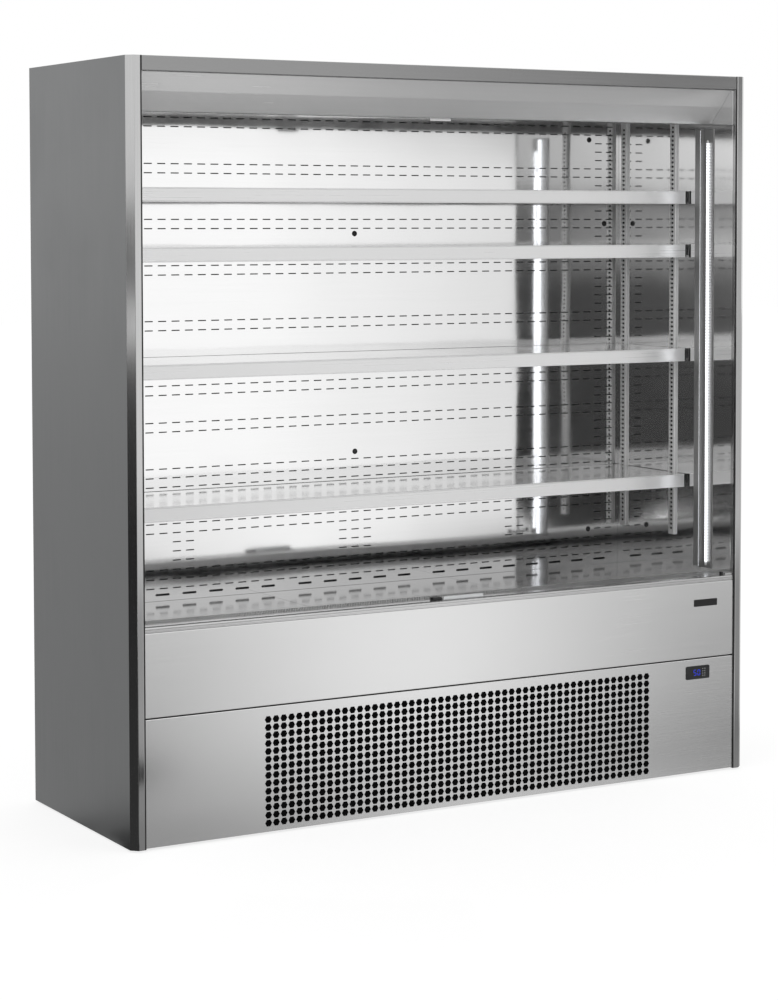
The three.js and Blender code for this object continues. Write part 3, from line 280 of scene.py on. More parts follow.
# Painted reflections for the polished liners: pale above, then a bright band, and dark down to the floor.
painted_reflection("camera_flag", [(REFLECTION_RADIUS, height, 22, 48, near, far) for height, near, far in (
    (2.5, 0.4, 1.3), (1.78, 0.35, 1.2), (1.68, 0.05, 0.25), (1.4, 0.08, 1.0), (1.3, 0.05, 0.3),
    (1.2, 0.03, 0.16), (0.9, 0.03, 0.14), (0.5, 0.025, 0.09), (REFLECTION_FOOT, 0.02, 0.08))] + [
    (5.0, REFLECTION_FOOT, 22, 48, 0.02, 0.08)])
# More glowing sheets that only mirrors see: painted light and shade in what the steel mirrors.
painted_reflection("near_flag", [(radius, REFLECTION_FOOT, 22, 29.3, 0.04, 0.04) for radius in (5.0, 1.2)])
painted_reflection("low_flag", [(radius, REFLECTION_FOOT, 29.3, 48, level, level) for radius, level in (
    (5.0, 0.05), (4.66, 0.05), (4.62, 2.2), (4.2, 2.2), (4.14, 0.05), (1.2, 0.05))])
painted_reflection("post_flag", [(REFLECTION_RADIUS, height, 50, 84, level, level) for height, level in (
    (1.66, 0.7), (1.57, 0.1), (1.22, 0.06), (1.18, 1.1), (0.98, 1.1), (0.9, 0.07), (REFLECTION_FOOT, 0.03))] + [
    (5.6, REFLECTION_FOOT, 57, 84, 0.03, 0.03), (1.0, REFLECTION_FOOT, 67, 84, 0.05, 0.05)])
painted_reflection("right_white", [(8.0, height, -8, -25, 1.06, 1.06) for height in (2.0, 0.0)])
painted_reflection("right_shade", [(8.0, height, -25, -45, first, last) for height, first, last in (
    (6.0, 1.0, 0.18), (2.2, 1.0, 0.18), (1.9, 1.06, 0.62), (0.0, 1.06, 0.62))])

# ---------------- end panels

# The end walls are foamed sandwich panels. Their skins are brushed stainless sheet, folded round
# the edges, with the grain running up. They stand on the base pan and carry everything else.
SKIN_EDGE = 0.0012  # outer radius of the folded skins


def group_of(name, inputs, output, kind="ShaderNodeTree"):
    """An empty node group with named inputs and one output."""
    group = bpy.data.node_groups.new(name, kind)
    for label, socket in inputs.items():
        group.interface.new_socket(label, in_out="INPUT", socket_type=f"NodeSocket{socket}")
    group.interface.new_socket(output[0], in_out="OUTPUT", socket_type=f"NodeSocket{output[1]}")
    return group, group.nodes.new("NodeGroupInput").outputs, group.nodes.new("NodeGroupOutput")


def noise(tree, vector, scale, detail, roughness=0.5):
    """Cloudy values round one half."""
    return add_node(tree, "ShaderNodeTexNoise", {
        "Vector": vector, "Scale": scale, "Detail": detail, "Roughness": roughness}).outputs["Fac"]


# Fine scratches that a belt leaves along a sheet: stretched noise, as a value round one half.
grain_group, entry, leaving = group_of("brushed_grain", {"Place": "Vector", "Stretch": "Vector"},
                                       ("Grain", "Float"))
stretched = add_node(grain_group, "ShaderNodeVectorMath", {0: entry["Place"], 1: entry["Stretch"]},
                     "MULTIPLY")
fill(grain_group, leaving, {"Grain": noise(grain_group, stretched.outputs["Vector"], 1.0, 3, 0.7)})

# The slow waves of a thin sheet, which bend what it mirrors.
wave_group, entry, leaving = group_of("sheet_wave", {"Place": "Vector", "Scale": "Float"},
                                      ("Height", "Float"))
fill(wave_group, leaving, {"Height": noise(wave_group, entry["Place"], entry["Scale"], 1.2, 0.4)})

# Faint cloudy marks that a cloth leaves: 0 where clean, 1 where dull.
haze_group, entry, leaving = group_of("wiped_haze", {"Place": "Vector", "Scale": "Float"},
                                      ("Haze", "Float"))
cloud = noise(haze_group, entry["Place"], entry["Scale"], 4, 0.6)
fill(haze_group, leaving, {"Haze": remap(haze_group, cloud, 0.42, 0.78, 0, 1)})


def placed(tree, group, place, value):
    """Puts a group in a material, with its own stretch or scale."""
    node = tree.nodes.new("ShaderNodeGroup")
    node.node_tree = group
    fill(tree, node, {0: place, 1: value})
    return node.outputs[0]


def mixed(tree, factor, first, second):
    """A colour between two others, each a code, a linear colour or a socket."""
    mix = tree.nodes.new("ShaderNodeMix")
    mix.data_type = "RGBA"
    first, second = (linear(colour) if isinstance(colour, str) else colour for colour in (first, second))
    fill(tree, mix, {"Factor": factor, "A": first, "B": second})
    return mix.outputs["Result"]


def bumped(tree, shader, layers):
    """Chains bumps, each a height with the distance it stands for in metres."""
    below = {}
    for height, distance in layers:
        bump = add_node(tree, "ShaderNodeBump", {"Height": height, "Distance": distance, **below})
        below = {"Normal": bump.outputs["Normal"]}
    fill(tree, shader, below)


def new_material(name):
    """An empty material with its nodes, its shader and the place on the object."""
    material = bpy.data.materials.new(name)
    material.use_nodes = True
    tree = material.node_tree
    place = tree.nodes.new("ShaderNodeTexCoord").outputs["Object"]
    return material, tree, tree.nodes["Principled BSDF"], place


def metal(name, light, dark, roughness, grain=(2, 400, 400), grain_depth=0.0, wave=(1.5, 0.0),
          haze=(3.0, 0.0), metallic=1.0, edge="ffffff"):
    """Bare metal: a grain between two colours, haze that dulls it, and slow waves of its sheet.

    grain is its stretch. A wave is its scale and height, and haze its scale and what it adds.
    """
    material, tree, shader, place = new_material(name)
    grain_value = placed(tree, grain_group, place, grain)
    rough = remap(tree, grain_value, 0.3, 0.7, roughness * 0.85, roughness * 1.15)
    dull = placed(tree, haze_group, place, haze[0])
    fill(tree, shader, {
        "Base Color": mixed(tree, grain_value, dark, light), "Metallic": metallic,
        "Roughness": maths(tree, "MULTIPLY_ADD", dull, haze[1], rough), "Specular Tint": linear(edge)})
    layers = []
    if wave[1]:
        layers.append((placed(tree, wave_group, place, wave[0]), wave[1]))
    if grain_depth:
        layers.append((grain_value, grain_depth))
    bumped(tree, shader, layers)
    return material


# The end panels' steel is a darker copy of the front's: painted shade, for the darker surroundings it
# mirrors.
side_steel = metal("side_steel_painted_dark", "7d7f80", "757575", 0.36, grain=(300, 300, 2.5),
                   grain_depth=0.00002, wave=(2.2, 0.0006), haze=(2.5, 0.05))


def smooth(mesh):
    """Smooth shading that stops at folds."""
    mesh.polygons.foreach_set("use_smooth", [True] * len(mesh.polygons))
    mesh.set_sharp_from_angle(angle=radians(30))


def fitted(piece, material, body, slot, *nodes):
    """A finished piece: its surface, the body that it rides on, its slot, which is not used, and what it
    stands for.
    """
    piece.data.materials.clear()
    piece.data.materials.append(material)
    smooth(piece.data)
    flats = piece.modifiers.new("flats", "WEIGHTED_NORMAL")
    flats.keep_sharp = True
    flats.weight = 100
    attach(piece, body)
    if nodes:
        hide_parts(*nodes)
    return piece


def body_of(node):
    return frame["nodes"][node]["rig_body"]


def made_of(name, shape):
    """A new object from a bmesh, which is used up."""
    mesh = bpy.data.meshes.new(name)
    shape.to_mesh(mesh)
    shape.free()
    return new_object(name, mesh)


def bevelled(shape, width, segments, angle):
    """Rounds the edges of a bmesh that are sharper than an angle."""
    sharp = [e for e in shape.edges if e.is_manifold and e.calc_face_angle() > radians(angle)]
    bmesh.ops.bevel(shape, geom=sharp, offset=width, segments=segments, affect="EDGES", clamp_overlap=True,
                    profile=0.5)


def eased(node, name, width, segments=2):
    """A copy of a plain piece with its loose triangles joined and its sharp edges rounded."""
    shape = bmesh.new()
    shape.from_mesh(frame["nodes"][node].data)
    bmesh.ops.remove_doubles(shape, verts=shape.verts, dist=1e-5)
    bmesh.ops.dissolve_limit(shape, angle_limit=radians(0.5), verts=shape.verts, edges=shape.edges)
    bevelled(shape, width, segments, 25)
    return made_of(name, shape)


for side in ("left", "right"):
    fitted(eased(f"{side}_side_panel", f"{side}_end_panel", SKIN_EDGE), side_steel, "root", "side_steel",
           f"{side}_side_panel")

# ---------------- corner posts

# Folded stainless posts close the front edges of the end panels, with a 45 degree face towards
# the outside. They are bent from one sheet, so every edge is a small radius that catches light.
# A step inside the front edge holds a dark strip, which paints the shade of the gap there.
POST_BEND = 0.0022
POST_CHAMFER = 0.017
STRIP_WIDTH = 0.0036
STRIP_DEPTH = 0.0045
STEP_BEND = 0.0006
post_steel = metal("post_steel", "c7c7c7", "bbbbbb", 0.11, grain=(260, 260, 2), grain_depth=0.00001,
                   wave=(1.8, 0.0012), haze=(3, 0.04))


def rounded(corners, radius, closed=True, step=12):
    """A line of corners in a plane or in space with every bend made an arc.

    radius is one value, or one for each corner.
    """
    points = [Vector(c).to_3d() for c in corners]
    count = len(points)
    radii = [radius] * count if isinstance(radius, (int, float)) else list(radius)
    made = []
    for i, here in enumerate(points):
        if (not closed and i in (0, count - 1)) or radii[i] <= 0:
            made.append(here)
            continue
        back = (points[i - 1] - here).normalized()
        ahead = (points[(i + 1) % count] - here).normalized()
        turn = pi - back.angle(ahead)
        if turn < radians(1):
            made.append(here)
            continue
        first = here + back * radii[i] * tan(turn / 2)
        centre = here + (back + ahead).normalized() * radii[i] / cos(turn / 2)
        steps = max(2, ceil(degrees(turn) / step))
        for k in range(steps + 1):
            spin = Matrix.Rotation(turn * k / steps, 3, ahead.cross(back))
            made.append(centre + spin @ (first - centre))
    return [p.to_2d() for p in made] if len(corners[0]) == 2 else made


AXES = {"x": lambda a, b, along: (along, a, b), "y": lambda a, b, along: (a, along, b),
        "z": lambda a, b, along: (a, b, along)}


def solid(name, corners, faces):
    """A closed shape with its faces turned outwards."""
    shape = bmesh.new()
    shape.from_mesh(mesh_of(name, corners, faces))
    bmesh.ops.recalc_face_normals(shape, faces=shape.faces)
    return made_of(name, shape)


def prism(name, outline, axis, low, high):
    """A closed outline pulled along an axis. The outline is drawn in the other two axes, in order."""
    count = len(outline)
    corners = [AXES[axis](p[0], p[1], end) for end in (low, high) for p in outline]
    faces = [tuple(range(count)), tuple(range(count, 2 * count))]
    faces += [(i, (i + 1) % count, count + (i + 1) % count, count + i) for i in range(count)]
    return solid(name, corners, faces)


for side, hand in ((-1, "left"), (1, "right")):
    node = f"{hand}_corner_post"
    low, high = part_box(node)
    inner, outer = sorted((abs(low.x), abs(high.x)))
    edge = inner + STRIP_WIDTH
    outline = [(inner, high.y), (inner, low.y + STRIP_DEPTH), (edge, low.y + STRIP_DEPTH), (edge, low.y),
               (outer - POST_CHAMFER, low.y), (outer, high.y)]
    ring = rounded([(side * x, y) for x, y in outline], [0, STEP_BEND, 0, POST_BEND, POST_BEND, 0])
    post = prism(f"{hand}_post_channel", ring, "z", low.z, high.z)
    fitted(post, post_steel, "root", "brushed_steel", node)

# ---------------- roof and rear wall

# The roof and the rear wall are foamed panels too, skinned with galvanised sheet that shows its
# crystals. The rear skin has three pressed fields that keep it stiff.
FIELDS = 3
FIELD_EDGE = 0.05
FIELD_SLOPE = 0.006
FIELD_DEPTH = 0.0022

# Zinc crystals: cells of slightly different greys, each tilted a little.
zinc, tree, shader, place = new_material("galvanised_sheet")
crystals = add_node(tree, "ShaderNodeTexVoronoi", {"Vector": place, "Scale": 85})
tone = add_node(tree, "ShaderNodeSeparateColor", {"Color": crystals.outputs["Color"]}).outputs
rough = remap(tree, tone["Green"], 0, 1, 0.42, 0.5)
dull = placed(tree, haze_group, place, 5.0)
fill(tree, shader, {"Base Color": mixed(tree, tone["Red"], "9a9c9d", "a8aaab"), "Metallic": 0.85,
                    "Roughness": maths(tree, "MULTIPLY_ADD", dull, 0.12, rough)})
bumped(tree, shader, [(placed(tree, wave_group, place, 2.0), 0.0012), (tone["Blue"], 0.00002)])

# The rear skin: a slab whose back has the pressed fields side by side.
low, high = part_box("rear_wall")
width = (high.x - low.x - FIELD_EDGE) / FIELDS
xs = [low.x]
for i in range(FIELDS):
    xs += [low.x + FIELD_EDGE + i * width, low.x + (i + 1) * width]
xs.append(high.x)
zs = [low.z, low.z + FIELD_EDGE, high.z - FIELD_EDGE, high.z]
shape = bmesh.new()
grid = [[shape.verts.new((x, high.y, z)) for z in zs] for x in xs]
pressed = []
for i in range(len(xs) - 1):
    for k in range(3):
        face = shape.faces.new((grid[i][k], grid[i][k + 1], grid[i + 1][k + 1], grid[i + 1][k]))
        if i % 2 and k == 1:
            pressed.append(face)
rim = [e for e in shape.edges if e.is_boundary]
walls = bmesh.ops.extrude_edge_only(shape, edges=rim)["geom"]
moved = [v for v in walls if isinstance(v, bmesh.types.BMVert)]
bmesh.ops.translate(shape, verts=moved, vec=(0, low.y - high.y, 0))
bmesh.ops.contextual_create(shape, geom=[e for e in shape.edges if e.is_boundary])
bmesh.ops.recalc_face_normals(shape, faces=shape.faces)
bmesh.ops.inset_individual(shape, faces=pressed, thickness=FIELD_SLOPE, depth=-FIELD_DEPTH)
fitted(made_of("rear_wall_skin", shape), zinc, "root", "zinc_sheet", "rear_wall")
fitted(eased("roof_panel", "roof_skin", 0.001), zinc, "root", "zinc_sheet", "roof_panel")

# ---------------- carcass in galvanised sheet

# The well, the base pan and what stands in the machine room are folded from plain galvanised
# sheet. Their bends are small, and no surface of them is finished further.
for node in ("well_tub", "base_pan", "blind_bracket_left", "blind_bracket_right"):
    fitted(eased(node, f"{node}_sheet", 0.0005, 1), zinc, "root", "zinc_sheet", node)

# ---------------- feet

# Four levelling feet: a turned rubber pad moulded on a threaded stem, which screws into the base
# pan from below.
FOOT_PROFILE = [(0, 0), (0.0215, 0), (0.024, 0.0016), (0.024, 0.0036), (0.0205, 0.0052), (0.0125, 0.0068),
                (0.008, 0.0072), (0.008, 0.0137), (0, 0.0137)]
TURNS = 40


def rubber(name, colour, roughness=0.75, shine=0.5):
    """Black rubber with a fine speck, and colour where dust lies."""
    material, tree, shader, place = new_material(name)
    speck = noise(tree, place, 900.0, 3, 0.6)
    dust = placed(tree, haze_group, place, 18.0)
    fill(tree, shader, {
        "Base Color": mixed(tree, dust, "0c0c0d", colour), "Specular IOR Level": shine,
        "Roughness": remap(tree, speck, 0.3, 0.7, roughness - 0.08, roughness + 0.08)})
    bumped(tree, shader, [(speck, 0.00008)])
    return material


foot_rubber = rubber("foot_rubber_black", "2a2a2b")


def turned(name, profile, steps, place=None):
    """A profile of radius and height turned round the z axis, closed at its poles, then placed."""
    shape = bmesh.new()
    edge = [shape.verts.new((r, 0, z)) for r, z in profile]
    edges = [shape.edges.new((edge[i], edge[i + 1])) for i in range(len(edge) - 1)]
    bmesh.ops.spin(shape, geom=edge + edges, cent=(0, 0, 0), axis=(0, 0, 1), angle=2 * pi, steps=steps,
                   use_merge=True)
    bmesh.ops.remove_doubles(shape, verts=shape.verts, dist=1e-6)
    bmesh.ops.recalc_face_normals(shape, faces=shape.faces)
    if place:
        shape.transform(place)
    return made_of(name, shape)


for corner in ("front_left", "front_right", "rear_left", "rear_right"):
    low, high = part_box(f"foot_{corner}")
    centre = (low + high) / 2
    foot = turned(f"{corner}_foot", FOOT_PROFILE, TURNS, Matrix.Translation((centre.x, centre.y, low.z)))
    fitted(foot, foot_rubber, "root", "foot_rubber", f"foot_{corner}")

# ---------------- liners and ceiling

# The display space is lined with mirror-polished stainless sheet. It is thin, so it waves a
# little and bends what it mirrors, and it carries faint marks where it was wiped.
mirror_steel = metal("mirror_steel", "f5f5f5", "f0f0f0", 0.055, grain=(3, 160, 160), wave=(3.1, 0.0016),
                     haze=(2.4, 0.07))
for node, name in (("left_liner", "left_wall_lining"), ("right_liner", "right_wall_lining"),
                   ("ceiling_plate", "ceiling_lining")):
    fitted(eased(node, name, 0.0004, 1), mirror_steel, "root", "polished_steel", node)

# ---------------- perforated back panel

# Chilled air leaves through rows of short slots in the polished back panel. Full rows stand in
# pairs, the columns at both ends are slotted all the way, and black plugs close the fixing holes.
ROW_TOP = 1.874
ROW_PITCH = 0.02557
ROWS = 52
FULL_ROWS = {0, 1, 5, 6, 11, 12, 16, 17, 22, 23, 29, 30, 33, 34, 38, 39, 40, 42, 44, 45, 49, 50, 51}
SHORT_ROWS = range(46, 49)
SHORT_COLUMNS = {-14, -13, -1, 0, 1, 13, 14}
COLUMN_PITCH = 0.04033
COLUMNS = 22  # each side of the middle one
DASH = (0.025, 0.0032)
FOOT_SLOT = (0.043, 0.0062)
FOOT_SLOT_HEIGHT = 0.5525
ROW_CLEAR = 0.012  # from the foot slots up to the lowest row
FOOT_SLOT_PITCH = 0.0818
FOOT_SLOT_START = 0.2814
FOOT_SLOTS_MIDDLE = 5
FOOT_SLOTS_SIDE = 8
PLUGS = [(0, 1.552), (0, 0.923), (0.813, 1.834), (-0.813, 1.834), (0.869, 1.58), (-0.869, 1.58),
         (0.813, 0.646), (-0.813, 0.646)]
PLUG_PROFILE = [(0, 0.0022), (0.0052, 0.002), (0.0078, 0.0012), (0.0082, 0), (0, 0)]


def slot_profile(tree, entry):
    """A long slot with round ends."""
    box = add_node(tree, "GeometryNodeCurvePrimitiveQuadrilateral", {
        "Width": entry["Width"], "Height": entry["Height"]})
    ends = tree.nodes.new("GeometryNodeFilletCurve")
    ends.mode = "POLY"
    almost_half = maths(tree, "MULTIPLY", entry["Height"], 0.495)
    fill(tree, ends, {"Curve": box.outputs["Curve"], "Count": 3, "Radius": almost_half})
    return ends.outputs["Curve"]


def ring_profile(sides):
    """A regular ring of sides, Width across its corners."""
    def made(tree, entry):
        return add_node(tree, "GeometryNodeCurvePrimitiveCircle", {
            "Resolution": sides, "Radius": maths(tree, "MULTIPLY", entry["Width"], 0.5)}).outputs["Curve"]
    return made


def tree_of(name, sizes):
    """An empty Geometry Nodes tree that puts something with a material on points, turned alike."""
    return group_of(name, {"Geometry": "Geometry", **sizes, "Places": "Object", "Turn": "Rotation",
                           "Material": "Material"}, ("Geometry", "Geometry"), "GeometryNodeTree")


def spread(tree, entry, shape):
    """Real copies of a shape on each point of Places, turned by Turn."""
    places = add_node(tree, "GeometryNodeObjectInfo", {"Object": entry["Places"]})
    copies = add_node(tree, "GeometryNodeInstanceOnPoints", {
        "Points": places.outputs["Geometry"], "Instance": shape, "Rotation": entry["Turn"]})
    real = add_node(tree, "GeometryNodeRealizeInstances", {"Geometry": copies.outputs["Instances"]})
    return real.outputs["Geometry"]


def finish(tree, entry, leaving, geometry):
    """Gives a tree's result its material and lets it out."""
    surface = add_node(tree, "GeometryNodeSetMaterial", {
        "Geometry": geometry, "Material": entry["Material"]})
    fill(tree, leaving, {"Geometry": surface.outputs["Geometry"]})


def punch_tree(name, profile):
    """Punches one hole at each point of Places, square to the sheet, which Turn aims."""
    tree, entry, leaving = tree_of(name, {"Width": "Float", "Height": "Float", "Depth": "Float"})
    ends = {}
    for label, sign in (("Start", -1), ("End", 1)):
        reach = maths(tree, "MULTIPLY", entry["Depth"], sign)
        ends[label] = add_node(tree, "ShaderNodeCombineXYZ", {"Y": reach}).outputs["Vector"]
    line = add_node(tree, "GeometryNodeCurvePrimitiveLine", ends)
    tool = add_node(tree, "GeometryNodeCurveToMesh", {
        "Curve": line.outputs["Curve"], "Profile Curve": profile(tree, entry), "Fill Caps": True})
    cut = tree.nodes.new("GeometryNodeMeshBoolean")
    cut.operation = "DIFFERENCE"
    cut.solver = "MANIFOLD"
    fill(tree, cut, {"Mesh 1": entry["Geometry"], "Mesh 2": spread(tree, entry, tool.outputs["Mesh"])})
    finish(tree, entry, leaving, cut.outputs["Mesh"])
    return tree


punch_slots = punch_tree("punch_slots", slot_profile)
punch_hexagons = punch_tree("punch_hexagons", ring_profile(6))
punch_circles = punch_tree("punch_circles", ring_profile(48))


def points_at(places):
    """A mesh of bare points that a tree reads, removed once it has run."""
    return new_object("places", mesh_of("places", places, []))


def run_tree(piece, tree, values):
    """Runs a tree on a piece with its named sizes and keeps the result as its plain mesh."""
    modifier = piece.modifiers.new(tree.name, "NODES")
    modifier.node_group = tree
    sockets = {s.name: s.identifier for s in tree.interface.items_tree if s.in_out == "INPUT"}
    for label, value in values.items():
        modifier[sockets[label]] = value
    result = piece.evaluated_get(bpy.context.evaluated_depsgraph_get())
    mesh = bpy.data.meshes.new_from_object(result)
    piece.modifiers.remove(modifier)
    piece.data = mesh
    for value in values.values():
        if isinstance(value, bpy.types.Object):
            bpy.data.objects.remove(value)
    return piece


def rectangle(low, high):
    return [(low[0], low[1]), (high[0], low[1]), (high[0], high[1]), (low[0], high[1])]


def plate(name, low, high):
    """A flat sheet between two corners."""
    return prism(name, rectangle(low, high), "z", low[2], high[2])


def punch(piece, tree, size, places, material, depth=0.004, turn=(0, 0, 0)):
    """Punches one size of hole through a piece, by a depth to both sides of each place."""
    return run_tree(piece, tree, {"Width": size[0], "Height": size[1], "Depth": depth, "Turn": turn,
                                  "Places": points_at(places), "Material": material})


low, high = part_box("back_panel")
middle_y = (low.y + high.y) / 2
dashes = []
for row in range(ROWS):
    z = ROW_TOP - row * ROW_PITCH
    for column in range(-COLUMNS, COLUMNS + 1):
        full = row in FULL_ROWS or abs(column) >= COLUMNS - 1
        short = row in SHORT_ROWS and column in SHORT_COLUMNS
        if (full or short) and z > FOOT_SLOT_HEIGHT + ROW_CLEAR:
            dashes.append((column * COLUMN_PITCH, middle_y, z))
foot_slots = [(i - (FOOT_SLOTS_MIDDLE - 1) / 2) * FOOT_SLOT_PITCH for i in range(FOOT_SLOTS_MIDDLE)]
for i in range(FOOT_SLOTS_SIDE):
    foot_slots += [FOOT_SLOT_START + i * FOOT_SLOT_PITCH, -FOOT_SLOT_START - i * FOOT_SLOT_PITCH]
back_sheet = plate("back_sheet", low, high)
foot_places = [(x, middle_y, FOOT_SLOT_HEIGHT) for x in foot_slots]
for size, places in ((DASH, dashes), (FOOT_SLOT, foot_places)):
    punch(back_sheet, punch_slots, size, places, mirror_steel, 0.003)
fitted(back_sheet, mirror_steel, "root", "polished_steel", "back_panel")


def moulded(name, colour, roughness, texture=0.00003, coat=0.0, clear=0.0):
    """Moulded plastic: a fine tooled surface and a trace of dust."""
    material, tree, shader, place = new_material(name)
    tooling = noise(tree, place, 1500.0, 2)
    dust = placed(tree, haze_group, place, 12.0)
    base = linear(colour)
    dusty = [min(1.0, c + 0.02) for c in base[:3]] + [1.0]
    fill(tree, shader, {
        "Base Color": mixed(tree, dust, base, dusty), "Coat Weight": coat, "Transmission Weight": clear,
        "Roughness": remap(tree, tooling, 0.3, 0.7, roughness * 0.9, roughness * 1.1)})
    bumped(tree, shader, [(tooling, texture)])
    return material


black_plastic = moulded("black_plastic_fittings", "161718", 0.42)


def joined(name, pieces):
    """One object made of several."""
    shape = bmesh.new()
    for piece in pieces:
        shape.from_mesh(piece.data)
        bpy.data.objects.remove(piece)
    return made_of(name, shape)


def facing_front(x, y, z):
    """Lays a turned shape down with its top to the front."""
    return Matrix.Translation((x, y, z)) @ Matrix.Rotation(radians(90), 4, "X")


plugs = [turned("plug", PLUG_PROFILE, 20, facing_front(x, low.y, z)) for x, z in PLUGS]
fitted(joined("fixing_plugs", plugs), black_plastic, "root", "black_plastic")

# ---------------- header and canopy

# The header is a brushed channel between the posts. Under it the canopy, one bent sheet, hides the
# night blind's roller; its lip turns up inside, so that the blind runs over a round edge.
FOLD = 0.0028
SHEET = 0.0015
LIP_RETURN = 0.009
CANOPY_FOLD = (0.043, -0.0457)  # from its top edge to its fold, back and down
# The header's steel is a darker copy of the canopy's: painted shade, for the darker things it mirrors.
header_painted_dark_steel = metal("header_painted_dark_steel", "9c9c9c", "949494", 0.22, grain=(2, 260, 260),
                     grain_depth=0.000003, wave=(1.3, 0.0016), haze=(2, 0.05))
canopy_steel = metal("canopy_steel", "f4f4f4", "ececec", 0.22, grain=(2, 260, 260),
                     grain_depth=0.000003, wave=(1.1, 0.0022), haze=(2, 0.05), metallic=0.7)


def folded(name, path, thickness, bend, axis, low, high):
    """A bent sheet. path is its outer side, drawn with the sheet on its left."""
    points = rounded(path, bend, closed=False)
    inside = []
    for i, here in enumerate(points):
        back = (here - points[i - 1]).normalized() if i else None
        ahead = (points[i + 1] - here).normalized() if i < len(points) - 1 else None
        along = ((back or ahead) + (ahead or back)).normalized()
        cosine = along.dot(ahead or back)
        inside.append(here + Vector((-along.y, along.x)) * thickness / cosine)
    count = len(points)
    rings = [[AXES[axis](p.x, p.y, end) for p in line] for end in (low, high) for line in (points, inside)]
    corners = [corner for ring in rings for corner in ring]
    out0, in0, out1, in1 = (i * count for i in range(4))
    faces = []
    for i in range(count - 1):
        a, b, c, d = out0 + i, in0 + i, out1 + i, in1 + i
        faces += [(a, a + 1, c + 1, c), (b, d, d + 1, b + 1), (a, b, b + 1, a + 1), (c, c + 1, d + 1, d)]
    for i in (0, count - 1):
        faces.append((out0 + i, out1 + i, in1 + i, in0 + i))
    return solid(name, corners, faces)


low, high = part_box("header_fascia")
path = [(high.y, high.z), (low.y, high.z), (low.y, low.z), (high.y, low.z)]
header = folded("header_channel", path, SHEET, FOLD, "x", low.x, high.x)
fitted(header, header_painted_dark_steel, "root", "brushed_steel", "header_fascia")

low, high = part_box("canopy")
path = [(low.y, high.z), (low.y + CANOPY_FOLD[0], high.z + CANOPY_FOLD[1]), (high.y, low.z),
        (high.y, low.z + LIP_RETURN)]
canopy = folded("canopy_sheet", path, SHEET, 0.0035, "x", low.x, high.x)
fitted(canopy, canopy_steel, "root", "brushed_steel", "canopy")

# ---------------- honeycomb air outlet

# Cold air falls as a curtain through aluminium honeycomb at the front edge of the ceiling. The
# cells are hexagons of 8 mm, in a shallow frame.
CELL = 0.0078
CELL_PITCH = (0.0086, 0.00745)
OUTLET_RIM = 0.004
honeycomb_metal = metal("honeycomb_aluminium", "a8a8a8", "919191", 0.42, grain=(60, 60, 60),
                        haze=(6, 0.1))


def hexagon_field(low_x, high_x, low_y, high_y, z, pitch):
    """Staggered places that fill a rectangle."""
    rows = int((high_y - low_y) / pitch[1]) + 1
    columns = int((high_x - low_x) / pitch[0])
    start_x = (low_x + high_x - (columns - 0.5) * pitch[0]) / 2
    start_y = (low_y + high_y - (rows - 1) * pitch[1]) / 2
    return [(start_x + (column + 0.5 * (row % 2)) * pitch[0], start_y + row * pitch[1], z)
            for row in range(rows) for column in range(columns)]


def honeycomb(name, node, rim, cell, pitch, low_z):
    """A flat slab of a node's outline, punched with hexagons all over, corners across the rows."""
    low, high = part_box(node)
    slab = plate(name, (low.x, low.y, low_z), (high.x, high.y, high.z))
    inset = rim + cell / 2
    places = hexagon_field(low.x + inset, high.x - inset, low.y + inset, high.y - inset,
                           (low_z + high.z) / 2, pitch)
    # The punch stands along y, so it is laid to z, and turned with a corner towards the front.
    turn = (Matrix.Rotation(radians(30), 3, "Z") @ Matrix.Rotation(radians(90), 3, "X")).to_euler()
    return punch(slab, punch_hexagons, (cell, cell), places, honeycomb_metal, high.z - low_z, turn)


outlet = honeycomb("air_curtain_honeycomb", "air_outlet", OUTLET_RIM, CELL, CELL_PITCH,
                   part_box("air_outlet")[0].z)
fitted(outlet, honeycomb_metal, "root", "aluminium", "air_outlet")

# ---------------- dark strips beside the posts, painted shade

# A dark rubber strip runs down between each post and what stands beside it, a little behind the
# face of the post: painted shade in the gap there.
STRIP_STEP = 0.0012
STRIP_GAP = 0.0003  # to the end panel's side of the post
STRIP_OVERLAP = 0.0004  # into the steel beside and behind it
gap_shade_rubber = rubber("gap_shade_rubber", "363636", 0.7)
for side, hand in ((-1, "left"), (1, "right")):
    low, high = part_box(f"{hand}_corner_post")
    inner = min(abs(low.x), abs(high.x))
    across = sorted((side * (inner + STRIP_GAP), side * (inner + STRIP_WIDTH + STRIP_OVERLAP)))
    gap_shade = plate(f"{hand}_post_seal", (across[0], low.y + STRIP_STEP, low.z),
                 (across[1], low.y + STRIP_DEPTH + STRIP_OVERLAP, high.z))
    fitted(gap_shade, gap_shade_rubber, "root", "foot_rubber")

# ---------------- middle front panel

# The panel over the seam covers the well, and stays when the panel below it is taken off. It is
# brushed stainless sheet with its top and bottom edges folded in.
front_steel = metal("front_steel", "eaeaea", "e6e6e6", 0.22, grain=(4, 1100, 1100), wave=(1.2, 0.0006),
                    haze=(1.6, 0.05))


def front_panel(name, node):
    low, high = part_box(node)
    path = [(high.y, high.z), (low.y, high.z), (low.y, low.z), (high.y, low.z)]
    return folded(name, path, SHEET, FOLD * 0.7, "x", low.x, high.x)


fitted(front_panel("middle_front", "middle_panel"), front_steel, "root", "brushed_steel", "middle_panel")

# ---------------- lower front panel

